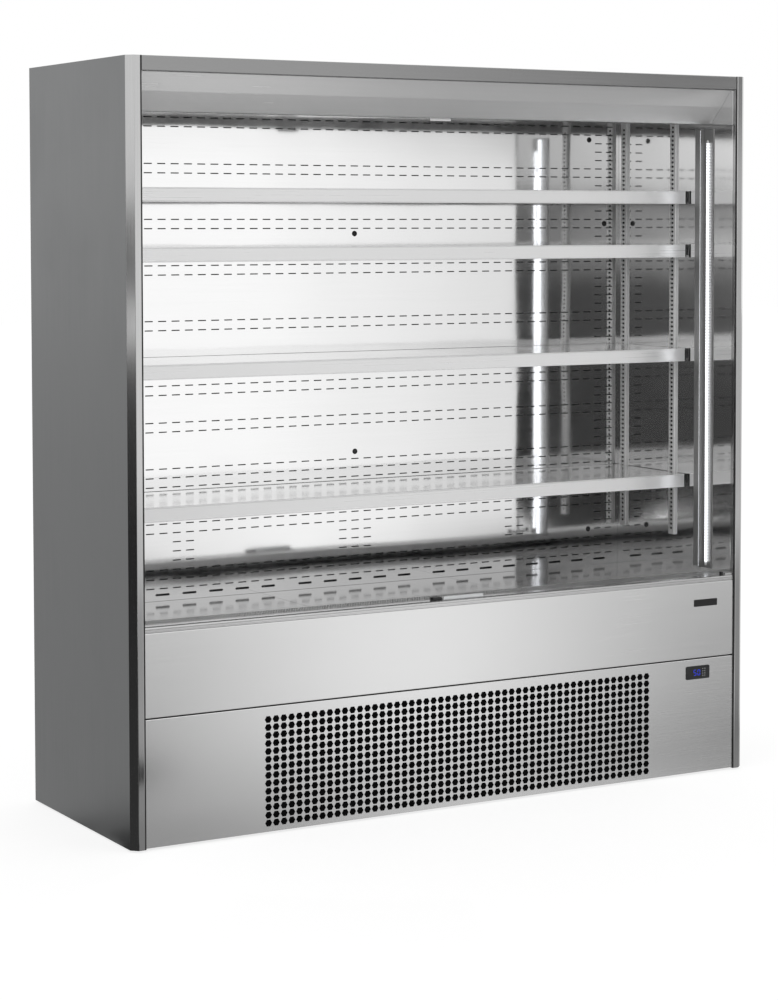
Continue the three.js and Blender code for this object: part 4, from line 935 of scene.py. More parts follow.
# The lower panel hangs in front of the machine room and pulls off for cleaning. Hexagons are
# punched through it for the condenser's air, in straight rows and columns.
HEXAGON = 0.0203
HEX_COLUMNS = 54
HEX_ROWS = 14
HEX_PITCH = (0.02255, 0.02084)
HEX_CENTRE = (0.0205, 0.1656)
lower_panel = front_panel("lower_front", "lower_grille_panel")
low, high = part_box("lower_grille_panel")
hexagons = [(HEX_CENTRE[0] + (column - (HEX_COLUMNS - 1) / 2) * HEX_PITCH[0], low.y,
             HEX_CENTRE[1] + (row - (HEX_ROWS - 1) / 2) * HEX_PITCH[1])
            for column in range(HEX_COLUMNS) for row in range(HEX_ROWS)]
punch(lower_panel, punch_hexagons, (HEXAGON, HEXAGON), hexagons, front_steel, 0.005)
fitted(lower_panel, front_steel, body_of("lower_grille_panel"), "brushed_steel", "lower_grille_panel")

# ---------------- black mat behind the hexagons, painted shade

# A mat of black open foam is clipped behind the hexagons, so that they show as black: painted
# shade for the dark machine room behind them. It comes away with the panel.
MAT_MARGIN = 0.02
MAT_THICKNESS = 0.004
MAT_RADIUS = 0.006
mat_low = [HEX_CENTRE[0] - HEX_COLUMNS / 2 * HEX_PITCH[0] - MAT_MARGIN,
           HEX_CENTRE[1] - HEX_ROWS / 2 * HEX_PITCH[1] - 0.004]
mat_high = [2 * HEX_CENTRE[0] - mat_low[0], 2 * HEX_CENTRE[1] - mat_low[1]]
mat_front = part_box("lower_grille_panel")[0].y + SHEET + 0.0004
mat = prism("dust_filter", rounded(rectangle(mat_low, mat_high), MAT_RADIUS), "y", mat_front,
            mat_front + MAT_THICKNESS)
painted_shade_foam = rubber("painted_shade_foam", "050505", 1.0, 0.05)
fitted(mat, painted_shade_foam, body_of("lower_grille_panel"), "black_plastic")

# ---------------- controller

# A panel-mount controller snapped into the lower panel: a black bezel with a smoked window, a
# blue seven-segment display, and eight membrane keys whose printing is left plain.
BEZEL_RADIUS = 0.004
BEZEL_EDGE = 0.0008
BEZEL_DEPTH = 0.0024
BODY_INSET = 0.005
WINDOW = (0.030, 0.020)
WINDOW_PLACE = -0.0045  # its middle, left of the bezel's
DIGIT = (0.0078, 0.0152)
DIGIT_STROKE = 0.0017
DIGIT_PLACE = 0.006944  # each side of the window's middle
DIGIT_FRONT = 0.00045  # before the bezel
SEGMENTS = {"5": "afgcd", "0": "abcdef"}
POINT_RADIUS = 0.0007
KEY_RADIUS = 0.001155
KEY_PITCH = (0.0072, 0.0066)
KEY_PLACE = 0.0205


def softened(piece, width, segments=2):
    """Rounds the sharp edges of a piece by a bevel in its mesh."""
    shape = bmesh.new()
    shape.from_mesh(piece.data)
    bevelled(shape, width, segments, 30)
    shape.to_mesh(piece.data)
    shape.free()
    return piece


low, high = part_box("controller")
bezel_x = (low.x + high.x) / 2
bezel_z = (low.z + high.z) / 2
bezel_back = low.y + BEZEL_DEPTH
bezel_ring = rounded(rectangle((low.x, low.z), (high.x, high.z)), BEZEL_RADIUS)
bezel = softened(prism("bezel", bezel_ring, "y", low.y, bezel_back), BEZEL_EDGE)
body_ring = rectangle((low.x + BODY_INSET, low.z + BODY_INSET), (high.x - BODY_INSET, high.z - BODY_INSET))
housing = softened(prism("housing", body_ring, "y", bezel_back - 0.0005, high.y), 0.0015)
controller = joined("controller_housing", [bezel, housing])
fitted(controller, black_plastic, body_of("controller"), "black_plastic", "controller")

window_x = bezel_x + WINDOW_PLACE
smoked = moulded("smoked_window", "0b0c10", 0.12, 0.000002, 0.6)
window_ring = rectangle((window_x - WINDOW[0] / 2, bezel_z - WINDOW[1] / 2),
                        (window_x + WINDOW[0] / 2, bezel_z + WINDOW[1] / 2))
window = prism("display_window", rounded(window_ring, 0.0015), "y", low.y - 0.0003, low.y + 0.001)
fitted(softened(window, 0.0002, 1), smoked, body_of("controller"), "black_plastic")


def digit(character, x, z, front):
    """Bars of a seven-segment figure, slightly in front of the window."""
    width, height = DIGIT
    reach = DIGIT_STROKE / 2
    bars = {"a": (0, height / 2, True), "g": (0, 0, True), "d": (0, -height / 2, True),
            "f": (-width / 2, height / 4, False), "b": (width / 2, height / 4, False),
            "e": (-width / 2, -height / 4, False), "c": (width / 2, -height / 4, False)}
    made = []
    for key in SEGMENTS[character]:
        dx, dz, lying = bars[key]
        long_half = (width / 2 if lying else height / 4) - reach * 0.9
        points = [(-long_half, 0), (-long_half + reach, reach), (long_half - reach, reach), (long_half, 0),
                  (long_half - reach, -reach), (-long_half + reach, -reach)]
        if not lying:
            points = [(b, a) for a, b in points]
        made.append(prism("bar", [(x + dx + a, z + dz + b) for a, b in points], "y", front, front + 0.0002))
    return made


def disc(x, z, radius, sides):
    """The outline of a flat round."""
    angles = [2 * pi * k / sides for k in range(sides)]
    return [(x + radius * cos(angle), z + radius * sin(angle)) for angle in angles]


# The figures glow by themselves.
display_blue, tree, shader, place = new_material("display_blue")
flicker = noise(tree, place, 600.0, 1)
fill(tree, shader, {"Base Color": linear("05060a"), "Roughness": 0.4, "Emission Strength": 0.85,
                    "Emission Color": mixed(tree, flicker, "2440ff", "2440ff")})
figures = digit("5", window_x - DIGIT_PLACE, bezel_z, low.y - DIGIT_FRONT)
figures += digit("0", window_x + DIGIT_PLACE, bezel_z, low.y - DIGIT_FRONT)
point_ring = disc(window_x, bezel_z - DIGIT[1] / 2, POINT_RADIUS, 8)
figures.append(prism("point", point_ring, "y", low.y - DIGIT_FRONT, low.y - DIGIT_FRONT + 0.0002))
fitted(joined("display_figures", figures), display_blue, body_of("controller"), "black_plastic")

key_grey = moulded("membrane_key_grey", "d2d2d4", 0.5)
keys = []
for column in (-0.5, 0.5):
    for row in (-1.5, -0.5, 0.5, 1.5):
        x = bezel_x + KEY_PLACE + column * KEY_PITCH[0]
        ring = disc(x, bezel_z + row * KEY_PITCH[1], KEY_RADIUS, 16)
        keys.append(prism("key", ring, "y", low.y - 0.0003, low.y + 0.0005))
fitted(joined("membrane_keys", keys), key_grey, body_of("controller"), "black_plastic")

# ---------------- badge plate

# A small plate of black anodised aluminium with rounded corners, glued on the middle panel. It is
# left bare.
badge_black = metal("badge_anodised", "393939", "313131", 0.3, grain=(2, 700, 700),
                    grain_depth=0.000004, haze=(9, 0.05), metallic=0.7)
low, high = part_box("badge_plate")
badge_ring = rounded(rectangle((low.x, low.z), (high.x, high.z)), 0.0022)
badge = softened(prism("bare_badge", badge_ring, "y", low.y, high.y), 0.0004)
fitted(badge, badge_black, "root", "black_plastic", "badge_plate")

# ---------------- front ledge

# An extruded aluminium nosing caps the front panel. Two grooves run along its face, and a moulded
# corner piece with a black spring clip closes its right end.
ledge_metal = metal("ledge_aluminium", "dadada", "c7c7c7", 0.22, grain=(1.5, 300, 300),
                    grain_depth=0.00001, wave=(1.4, 0.0008), haze=(2, 0.05))
low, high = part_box("front_ledge")
g = 0.0018  # depth of the grooves
face = [(low.y + g, low.z), (high.y, low.z), (high.y, high.z), (low.y + 0.005, high.z),
        (low.y + 0.0032, high.z - 0.0012), (low.y + 0.0008, high.z - 0.0022), (low.y, high.z - 0.0042),
        (low.y, high.z - 0.0062), (low.y + g, high.z - 0.0068), (low.y + g, high.z - 0.0082),
        (low.y, high.z - 0.0088), (low.y, low.z + 0.0036), (low.y + g, low.z + 0.003)]
ledge = prism("ledge_nosing", face, "x", low.x, high.x)
fitted(softened(ledge, 0.0003, 1), ledge_metal, "root", "ledge_aluminium", "front_ledge")
CLIP = (0.0035, 0.010, 0.009)  # half its width, its depth and its height
clip_x, clip_y = high.x - 0.036, low.y + 0.004
clip = plate("ledge_clip", (clip_x - CLIP[0], clip_y, high.z - 0.002),
             (clip_x + CLIP[0], clip_y + CLIP[1], high.z + CLIP[2]))
fitted(softened(clip, 0.0008), black_plastic, "root", "black_plastic")
corner = softened(plate("ledge_corner", (high.x - 0.026, low.y + 0.002, high.z - 0.001),
                        (high.x - 0.0005, low.y + 0.024, high.z + 0.0045)), 0.0012)
fitted(corner, ledge_metal, "root", "ledge_aluminium")

# ---------------- return air grille

# Warm air goes back into the well through a band of honeycomb behind the ledge. Its rear edge is
# folded down in front of the deck plates.
RETURN_CELL = 0.0060
RETURN_PITCH = (0.0076, 0.0066)
RETURN_RIM = 0.007
RETURN_DEPTH = 0.006
low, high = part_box("return_grille")
grille_band = honeycomb("return_honeycomb", "return_grille", RETURN_RIM, RETURN_CELL, RETURN_PITCH,
                        high.z - RETURN_DEPTH)
apron = plate("apron", (low.x, high.y - SHEET, low.z), (high.x, high.y, high.z - 0.0062))
return_metal = metal("return_honeycomb_metal", "dddddd", "cacaca", 0.35, grain=(60, 60, 60),
                     haze=(6, 0.1))
fitted(joined("return_air_grille", [grille_band, apron]), return_metal, "root", "aluminium",
       "return_grille")

# ---------------- deck plates

# Three polished plates lie side by side over the well. Their edges are folded down, and each has
# a bead along its front where the sheet is turned over.
PAN_BEND = 0.003
# Their steel is a darker copy of the shelves', with a darker edge tint: painted shade for what the decks
# mirror.
deck_painted_dark_steel = metal("deck_painted_dark_steel", "b9b9b9", "b0b0b0", 0.1, grain=(2, 200, 200), wave=(2.6, 0.0014),
                   haze=(2.2, 0.1), edge="dedede")
for side in ("left", "middle", "right"):
    node = f"deck_plate_{side}"
    low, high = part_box(node)
    path = [(high.y, low.z), (high.y, high.z), (low.y, high.z), (low.y, low.z)]
    deck = folded(f"{side}_deck", path, SHEET, PAN_BEND, "x", low.x, high.x)
    fitted(deck, deck_painted_dark_steel, body_of(node), "polished_steel", node)

# ---------------- slotted uprights

# Rolled channels screwed to the liners. Their webs have a slot every 12.8 mm, in which the
# shelves hook. Behind the slots a black strip lies on the liner: painted shade, so the slots show dark.
UPRIGHT_SLOT = (0.0125, 0.0062)
UPRIGHT_PITCH = 0.0128
UPRIGHT_END = 0.012
UPRIGHT_SHEET = 0.0012
UPRIGHT_BEND = 0.0016
SLOT_SHADE_THICKNESS = 0.00048
upright_slot_shade = rubber("upright_slot_shade", "0c0c0c", 0.9)
upright_metal = metal("upright_steel", "ececec", "e2e2e2", 0.36, grain=(300, 300, 3), wave=(3, 0.0008),
                      haze=(4, 0.08), metallic=0.6)
for side, toward in (("left", 1), ("right", -1)):
    for row in ("front", "rear"):
        node = f"upright_{side}_{row}"
        low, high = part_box(node)
        wall, face = (low.x, high.x)[::toward]
        # A hat section: the slotted face stands off the wall, and its sides go back to it.
        path = [(wall, low.y), (face, low.y), (face, high.y), (wall, high.y)][::-toward]
        channel = folded(f"{side}_{row}_channel", path, UPRIGHT_SHEET, UPRIGHT_BEND, "z", low.z, high.z)
        count = int((high.z - low.z - 2 * UPRIGHT_END) / UPRIGHT_PITCH)
        slots = [(face, (low.y + high.y) / 2, low.z + UPRIGHT_END + (i + 0.5) * UPRIGHT_PITCH)
                 for i in range(count)]
        punch(channel, punch_slots, UPRIGHT_SLOT, slots, upright_metal, turn=(0, 0, radians(90)))
        fitted(channel, upright_metal, "root", "upright_steel", node)
        across = sorted((wall, wall + toward * SLOT_SHADE_THICKNESS))
        slot_shade = plate(f"{side}_{row}_tape", (across[0], low.y + 0.002, low.z + 0.004),
                     (across[1], high.y - 0.002, high.z - 0.004))
        fitted(slot_shade, upright_slot_shade, "root", "black_plastic")

# ---------------- shelves

# Each shelf is a polished pan: a tray of sheet with its front and rear folded down, and tapered
# brackets of thicker sheet at the ends, whose hooks sit in the uprights. They hang loose.
BRACKET = 0.003
HOOK = (0.0033, 0.014, 0.002, 0.026)  # its reach, its width, and its foot and top over the bracket's
shelf_steel = metal("shelf_steel", "dedede", "d4d4d4", 0.1, grain=(2, 200, 200), wave=(2.4, 0.0016),
                    haze=(2.2, 0.09))
for number in range(1, 5):
    node = f"shelf_{number}"
    low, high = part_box(node)
    half_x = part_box(f"price_rail_{number}")[1].x
    rear_drop = (high.z - low.z) / 2
    path = [(high.y, high.z - rear_drop), (high.y, high.z), (low.y, high.z), (low.y, low.z)]
    tray = folded("tray", path, SHEET, PAN_BEND, "x", -half_x + BRACKET, half_x - BRACKET)
    parts = [tray]
    for side in (-1, 1):
        ends = sorted((side * (half_x - BRACKET), side * half_x))
        outline = [(low.y, high.z), (low.y, low.z), (high.y, low.z), (high.y, high.z)]
        bracket = prism("bracket", rounded(outline, [0, 0.004, 0.004, 0]), "x", *ends)
        parts.append(softened(bracket, 0.0004, 1))
        for upright_row in ("front", "rear"):
            near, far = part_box(f"upright_left_{upright_row}")
            y = (near.y + far.y) / 2
            outline = rectangle((y - HOOK[1] / 2, low.z + HOOK[2]), (y + HOOK[1] / 2, low.z + HOOK[3]))
            reach = sorted((side * (half_x - 0.0005), side * min(high.x, half_x + HOOK[0])))
            parts.append(prism("hook", rounded(outline, 0.002), "x", *reach))
    fitted(joined(f"shelf_pan_{number}", parts), shelf_steel, body_of(node), "polished_steel", node)

# ---------------- price rails

# A pale anodised rail snaps on the front fold of each shelf. Tickets slide between its two lips,
# and black caps close its ends.
RAIL_CAP = 0.003
rail_metal = metal("rail_silver", "ededed", "e6e6e6", 0.3, grain=(1.5, 300, 300), grain_depth=0.000006,
                   wave=(1.2, 0.0008), haze=(1.5, 0.04), metallic=0.55)
for number in range(1, 5):
    node = f"price_rail_{number}"
    low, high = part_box(node)
    outline = [(low.y + 0.0006, low.z), (high.y, low.z), (high.y, high.z), (low.y + 0.0006, high.z),
               (low.y, high.z - 0.0006), (low.y, high.z - 0.0024), (low.y + 0.0012, high.z - 0.003),
               (low.y + 0.0012, low.z + 0.003), (low.y, low.z + 0.0024), (low.y, low.z + 0.0006)]
    rail = prism(f"rail_{number}", outline, "x", low.x + RAIL_CAP, high.x - RAIL_CAP)
    fitted(softened(rail, 0.0002, 1), rail_metal, body_of(node), "price_rail_white", node)
    caps = []
    for side in (-1, 1):
        ends = sorted((side * high.x, side * (high.x - RAIL_CAP)))
        ring = rounded(rectangle((low.y, low.z), (high.y, high.z)), 0.0012)
        caps.append(softened(prism("cap", ring, "x", *ends), 0.0004, 1))
    fitted(joined(f"rail_caps_{number}", caps), black_plastic, body_of(node), "black_plastic")

# ---------------- upright light fittings

# A polished angle screwed to each liner carries a frosted lamp tube in two clips, with plastic
# caps on its ends. Its chips show as a fine row of brighter points.
ANGLE_SHEET = 0.002
ANGLE_LIP = 0.0024
TUBE_RADIUS = 0.0038
TUBE_Y = -0.203
TUBE_ENDS = (0.008, 0.033)  # what it leaves free at the foot and the top of its angle
TUBE_CAP = 0.009
CAP_PROFILE = [(0, 0), (0.0025, 0), (0.0036, 0.0012), (0.004, 0.003), (0.004, TUBE_CAP), (0, TUBE_CAP)]
CLIP_WIDTH = 0.012
CLIP_PLACES = (0.06, 0.076)  # from the tube's two ends
CLIP_RADII = (0.0049, 0.0039)
CHIP_PITCH = 0.0085
LAMP_DIM = 0.6
LAMP_BRIGHT = 2.6
LENS_DEPTH = 0.0135
LENS_BACK = -0.176
LENS_FRONT = LENS_BACK - 0.0012
RIB_FRONT = LENS_BACK - 0.0028
fitting_steel = metal("fitting_steel", "a8a8a8", "9c9c9c", 0.36, grain=(300, 300, 3), wave=(3, 0.001),
                      haze=(4, 0.08), metallic=0.8)
white_plastic = moulded("white_plastic_caps", "dadada", 0.4)

# The frosted tube glows by itself, a little brighter at each chip.
tube_glow, tree, shader, place = new_material("lamp_tube_glow")
height = add_node(tree, "ShaderNodeSeparateXYZ", {"Vector": place}).outputs["Z"]
chips = maths(tree, "SINE", maths(tree, "MULTIPLY", height, 2 * pi / CHIP_PITCH))
fill(tree, shader, {
    "Base Color": linear("e9ebec"), "Roughness": 0.35,
    "Emission Strength": remap(tree, chips, -1, 1, LAMP_DIM, LAMP_BRIGHT),
    "Emission Color": mixed(tree, noise(tree, place, 3.0, 1), "f4f8ff", "ffffff")})
for side, toward in (("left", 1), ("right", -1)):
    node = f"light_fitting_{side}"
    low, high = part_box(node)
    wall = low.x if side == "left" else high.x
    face = wall + toward * ANGLE_SHEET
    path = [(wall, high.y), (wall, low.y), (wall + toward * ANGLE_LIP, low.y)][::toward]
    angle = folded(f"{side}_lamp_angle", path, ANGLE_SHEET, 0.0008, "z", low.z, high.z)
    fitted(angle, fitting_steel, "root", "light_fitting", node)
    centre = (face + toward * (TUBE_RADIUS + 0.0002), TUBE_Y)
    foot, top = low.z + TUBE_ENDS[0], high.z - TUBE_ENDS[1]
    tube_end = top - foot - TUBE_CAP
    profile = [(0, TUBE_CAP), (TUBE_RADIUS, TUBE_CAP), (TUBE_RADIUS, tube_end), (0, tube_end)]
    upwards = Matrix.Translation((*centre, foot))
    downwards = Matrix.Translation((*centre, top)) @ Matrix.Rotation(pi, 4, "X")
    fitted(turned(f"{side}_lamp_tube", profile, 20, upwards), tube_glow, "root", "light_fitting")
    # A rib beside the tube carries a second, flat lens, which lights the shelves behind it.
    across = sorted((face, wall + toward * LENS_DEPTH))
    rib = plate(f"{side}_lamp_rib", (across[0], RIB_FRONT, low.z), (across[1], LENS_FRONT, high.z))
    fitted(rib, fitting_steel, "root", "light_fitting")
    lens_ring = rounded(rectangle((across[0], LENS_FRONT), (across[1], LENS_BACK)), 0.0005)
    lens = prism(f"{side}_lamp_lens", lens_ring, "z", low.z + 0.004, high.z - 0.004)
    fitted(lens, tube_glow, "root", "light_fitting")
    caps = [turned("cap", CAP_PROFILE, 20, end) for end in (upwards, downwards)]
    for height in (foot + CLIP_PLACES[0], top - CLIP_PLACES[1]):
        # A clip holds the tube from the wall and from behind.
        arc = [radians(20 * k - 20) for k in range(6)]
        ring = [(centre[0] - toward * r * cos(a), centre[1] + r * sin(a))
                for r, angles in zip(CLIP_RADII, (arc, arc[::-1])) for a in angles]
        caps.append(prism("clip", ring, "z", height, height + CLIP_WIDTH))
    fitted(joined(f"{side}_lamp_caps", caps), white_plastic, "root", "light_fitting")

# ---------------- night blind: roller and fabric

# The blind is woven in grey yarn, with a thin coating. It winds on an aluminium tube between two
# brackets behind the canopy. The free stretch runs down to the pull bar and is drawn with it.
CORE_RADIUS = 0.0195
WRAP_RADIUS = 0.0248
WRAPS = 9
FABRIC_INSET = 0.006
FABRIC_THICKNESS = 0.0006
FABRIC_ROWS = 48
FABRIC_COLUMNS = 60
YARN_PITCH = 0.0011
BAND = 0.314  # the period of the node's bands at a scale of 1
WRAP_UNEVEN = 0.0012
seeded = Random(11)

# Plain weave: two crossed rows of yarn, over and under.
blind_cloth, tree, shader, place = new_material("blind_cloth")
rows = []
for axis in ("X", "Z"):
    yarn = add_node(tree, "ShaderNodeTexWave", {
        "Vector": place, "Distortion": 0.4, "Scale": BAND / YARN_PITCH})
    yarn.bands_direction = axis
    rows.append(yarn.outputs["Fac"])
weave = maths(tree, "MULTIPLY", *rows)
shade = maths(tree, "MULTIPLY", weave, noise(tree, place, 240.0, 3, 0.6))
fill(tree, shader, {"Base Color": mixed(tree, shade, "6d7175", "a5a9ad"), "Roughness": 0.75,
                    "Sheen Weight": 0.15})
bumped(tree, shader, [(weave, YARN_PITCH * 0.25)])

low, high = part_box("blind_roller")
along_x = (Matrix.Translation((0, (low.y + high.y) / 2, (low.z + high.z) / 2))
           @ Matrix.Rotation(radians(90), 4, "Y"))
fabric_half = high.x - FABRIC_INSET

# The roll's ends show the edge of each wrap, none of them quite flush.
wrap_start = CORE_RADIUS + 0.0002
wrap_step = (WRAP_RADIUS - wrap_start) / WRAPS
roll_end = []
for i in range(WRAPS):
    proud = fabric_half - seeded.uniform(0.0, WRAP_UNEVEN)
    roll_end += [(wrap_start + i * wrap_step, proud), (wrap_start + (i + 0.8) * wrap_step, proud),
                 (wrap_start + (i + 0.9) * wrap_step, proud - 0.0015)]
roll_profile = [(0, -roll_end[0][1])] + [(r, -x) for r, x in roll_end]
roll_profile += [(WRAP_RADIUS, -fabric_half + 0.001), (WRAP_RADIUS, fabric_half - 0.001)]
roll_profile += roll_end[::-1] + [(0, roll_end[0][1])]
fitted(turned("wound_blind", roll_profile, 48, along_x), blind_cloth, body_of("blind_roller"),
       "blind_fabric", "blind_roller")
core_profile = [(0.0055, -high.x), (0.0165, -high.x), (0.0185, -high.x + 0.001),
                (CORE_RADIUS, -high.x + 0.0012), (CORE_RADIUS, -fabric_half + 0.01),
                (0.0055, -fabric_half + 0.01), (0.0055, -high.x)]
ends = [turned("core", core_profile, 40, along_x @ Matrix.Rotation(turn, 4, "X")) for turn in (0, pi)]
roller_metal = metal("roller_aluminium", "bcbcbc", "acacac", 0.32, grain=(2, 300, 300),
                     grain_depth=0.000006, haze=(6, 0.08))
fitted(joined("roller_core_ends", ends), roller_metal, body_of("blind_roller"), "aluminium")

low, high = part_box("blind_fabric")
lean = 0.070256  # of the fabric's plane, forward towards its foot, in radians
fabric_back = high.y  # at its top edge
half_x = high.x
corners, faces = [], []
for sheet_side in (0, 1):
    for row in range(FABRIC_ROWS + 1):
        drop = (high.z - low.z) * row / FABRIC_ROWS
        for column in range(FABRIC_COLUMNS + 1):
            x = -half_x + 2 * half_x * column / FABRIC_COLUMNS
            y = fabric_back - tan(lean) * drop - 0.0001 - (1 - sheet_side) * FABRIC_THICKNESS
            corners.append((x, y, high.z - drop))
wide, count = FABRIC_COLUMNS + 1, (FABRIC_ROWS + 1) * (FABRIC_COLUMNS + 1)
for row in range(FABRIC_ROWS):
    for column in range(FABRIC_COLUMNS):
        a = row * wide + column
        b = count + a
        faces += [(a, a + wide, a + wide + 1, a + 1), (b, b + 1, b + wide + 1, b + wide)]
border = [(c, c + 1) for c in range(FABRIC_COLUMNS)] + [
    (FABRIC_ROWS * wide + c + 1, FABRIC_ROWS * wide + c) for c in range(FABRIC_COLUMNS)]
border += [((r + 1) * wide, r * wide) for r in range(FABRIC_ROWS)]
border += [(r * wide + FABRIC_COLUMNS, (r + 1) * wide + FABRIC_COLUMNS) for r in range(FABRIC_ROWS)]
faces += [(a, b, count + b, count + a) for a, b in border]
sheet_object = new_object("blind_cloth", mesh_of("blind_cloth", corners, faces))
sheet_object.data.materials.append(blind_cloth)
smooth(sheet_object.data)
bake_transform(sheet_object)
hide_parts("blind_fabric")

# ---------------- night blind: pull bar and catch

# The fabric's foot is held in an extruded bar, with a finger tab near its middle. Pulled down, the
# tab hooks behind a clear catch on the ledge.
TAB = (0.018, 0.066, 0.0085)  # its middle, width and height
bar_material = metal("bar_anodised", "e8e8e8", "dedede", 0.3, grain=(2, 300, 300), grain_depth=0.000006,
                     haze=(3, 0.05), metallic=0.6)
low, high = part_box("blind_pull_bar")
thickness = 0.007
bar_height = (high.z - low.z - TAB[2] * cos(lean)) / cos(lean) - 0.0004
top_y = high.y - 0.0001


def leaning(along, across):
    """A point of the blind's plane: along it downwards, and across it to the front, as (y, z)."""
    y = top_y - 0.5 * thickness - sin(lean) * along - cos(lean) * across
    return y, high.z - 0.0003 - cos(lean) * along + sin(lean) * across


half_bar = thickness / 2 - 0.0002
section = [leaning(0.0005, -half_bar), leaning(0.0005, -0.0012), leaning(0.003, -0.0012),
           leaning(0.003, 0.0012), leaning(0.0005, 0.0012), leaning(0.0005, half_bar),
           leaning(bar_height, half_bar), leaning(bar_height, -half_bar)]
bar = softened(prism("bar", section, "x", low.x, high.x), 0.0006, 2)
tab_section = [leaning(bar_height - 0.004, half_bar), leaning(bar_height + TAB[2], half_bar),
               leaning(bar_height + TAB[2], -0.001), leaning(bar_height + 0.003, 0.0005),
               leaning(bar_height - 0.004, 0.0005)]
tab = softened(prism("tab", tab_section, "x", TAB[0] - TAB[1] / 2, TAB[0] + TAB[1] / 2), 0.0008, 2)
fitted(joined("blind_bar_with_tab", [bar, tab]), bar_material, body_of("blind_pull_bar"), "blind_bar",
       "blind_pull_bar")

clear_plastic = moulded("clear_catch_plastic", "eceeef", 0.22, 0.000004, 0.3, 0.25)
low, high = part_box("blind_catch")
rise = high.z - low.z
section = [(low.y, low.z), (high.y, low.z), (high.y, low.z + rise / 3), (low.y + 0.0073, low.z + rise / 3),
           (low.y + 0.0055, high.z), (low.y, high.z)]
catch = softened(prism("ledge_catch", section, "x", low.x + 0.0004, high.x - 0.0004), 0.0007, 2)
fitted(catch, clear_plastic, "root", "clear_plastic", "blind_catch")
buffer_block = softened(plate("catch_buffer", (low.x - 0.03, low.y + 0.004, low.z),
                              (low.x - 0.002, high.y, low.z + rise * 0.8)), 0.001, 2)
fitted(buffer_block, black_plastic, "root", "black_plastic")

# ---------------- fans

# Axial rotors moulded in black plastic: five swept blades on a domed hub, pressed on the motor's
# shaft. The condenser's is the larger one.
BLADES = 5
HUB = 0.0195
FANS = {"condenser_fan": (-0.25, 0.1308, 0.098), "evaporator_fan_1": (-0.36, 0.45575, 0.058),
        "evaporator_fan_2": (0.36, 0.45575, 0.058)}  # where each turns, and its reach
fan_plastic = moulded("fan_plastic", "1b1c1d", 0.38)


def facing_back(x, y, z):
    """Lays a turned shape down with its top to the back."""
    return Matrix.Translation((x, y, z)) @ Matrix.Rotation(radians(-90), 4, "X")


def rotor(name, radius, front, depth, x, z):
    """A rotor about the y axis. Each blade is a twisted sheet, thinner towards its tip."""
    shape = bmesh.new()
    spans, chords = 8, 8
    for blade in range(BLADES):
        grid = {}
        for face_side in (1, -1):
            for i in range(spans + 1):
                share = i / spans
                r = HUB - 0.001 + (radius - HUB - 0.0006) * share
                pitch = 0.75 - 0.3 * share
                chord = (depth - 0.004) / sin(pitch) * (0.82 + 0.18 * sin(pi * share))
                for k in range(chords + 1):
                    along = (k / chords - 0.5) * chord
                    from_middle = 2 * k / chords - 1
                    camber = 0.04 * chord * (1 - from_middle ** 2)
                    thick = 0.0011 * (1 - 0.5 * share) * (1 - from_middle ** 4)
                    y = front + depth / 2 + along * sin(pitch) * 0.92 + camber + face_side * thick
                    angle = 2 * pi * blade / BLADES + 0.35 * share ** 2 + along * cos(pitch) / r
                    grid[face_side, i, k] = shape.verts.new((x + r * sin(angle), y, z + r * cos(angle)))
                    if i and k:
                        shape.faces.new([grid[face_side, i - 1, k - 1], grid[face_side, i, k - 1],
                                         grid[face_side, i, k], grid[face_side, i - 1, k]])
        rim = [(i, 0) for i in range(spans)] + [(spans, k) for k in range(chords)]
        rim += [(i, chords) for i in range(spans, 0, -1)] + [(0, k) for k in range(chords, 0, -1)]
        for (i, k), (j, m) in zip(rim, rim[1:] + rim[:1]):
            shape.faces.new([grid[1, i, k], grid[1, j, m], grid[-1, j, m], grid[-1, i, k]])
    bmesh.ops.recalc_face_normals(shape, faces=shape.faces)
    blades = made_of("blades", shape)
    hub_profile = [(0, 0.0004), (0.008, 0.0012), (0.015, 0.0032), (0.0185, 0.006), (HUB, 0.009),
                   (HUB, depth), (0.0178, depth), (0.0178, depth - 0.003), (0.0052, depth - 0.003),
                   (0.0052, depth * 0.5), (0, depth * 0.5)]
    return joined(name, [blades, turned("hub", hub_profile, 32, facing_back(x, front, z))])


for node, (centre_x, centre_z, reach) in FANS.items():
    low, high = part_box(node)
    fan = rotor(f"{node}_rotor", reach, low.y, high.y - low.y, centre_x, centre_z)
    fitted(fan, fan_plastic, body_of(node), "black_plastic", node)

# ---------------- condenser

# Rows of thin fins on copper tubes, between two galvanised end plates. The tubes turn back in
# bends outside the right plate, and the thin liquid line leaves there.
FIN_PITCH = 0.0026
FIN_SHEET = 0.0003
fin_metal = metal("fin_aluminium", "8f9496", "7b8083", 0.45, grain=(40, 40, 40), haze=(9, 0.12))

# Drawn copper tube: a warm metal with darker bloom where it was handled and brazed.
copper_tube, tree, shader, place = new_material("copper_tube")
bloom = placed(tree, haze_group, place, 14.0)
drawn = placed(tree, grain_group, place, (90, 90, 90))
bare = mixed(tree, drawn, "b46f4a", "c98259")
fill(tree, shader, {"Base Color": mixed(tree, bloom, bare, "7d4a30"), "Metallic": 1.0,
                    "Roughness": remap(tree, bloom, 0, 1, 0.24, 0.5)})
bumped(tree, shader, [(drawn, 0.00003)])

# One copy of Shape on each point of Places.
copies, entry, leaving = tree_of("copies", {"Shape": "Object"})
shape = add_node(copies, "GeometryNodeObjectInfo", {"Object": entry["Shape"]})
finish(copies, entry, leaving, spread(copies, entry, shape.outputs["Geometry"]))


def copied(name, shape, places, material):
    """A piece made of copies of a shape, which is used up."""
    base = new_object(name, mesh_of(name, [], []))
    return run_tree(base, copies, {"Shape": shape, "Places": points_at(places), "Material": material})


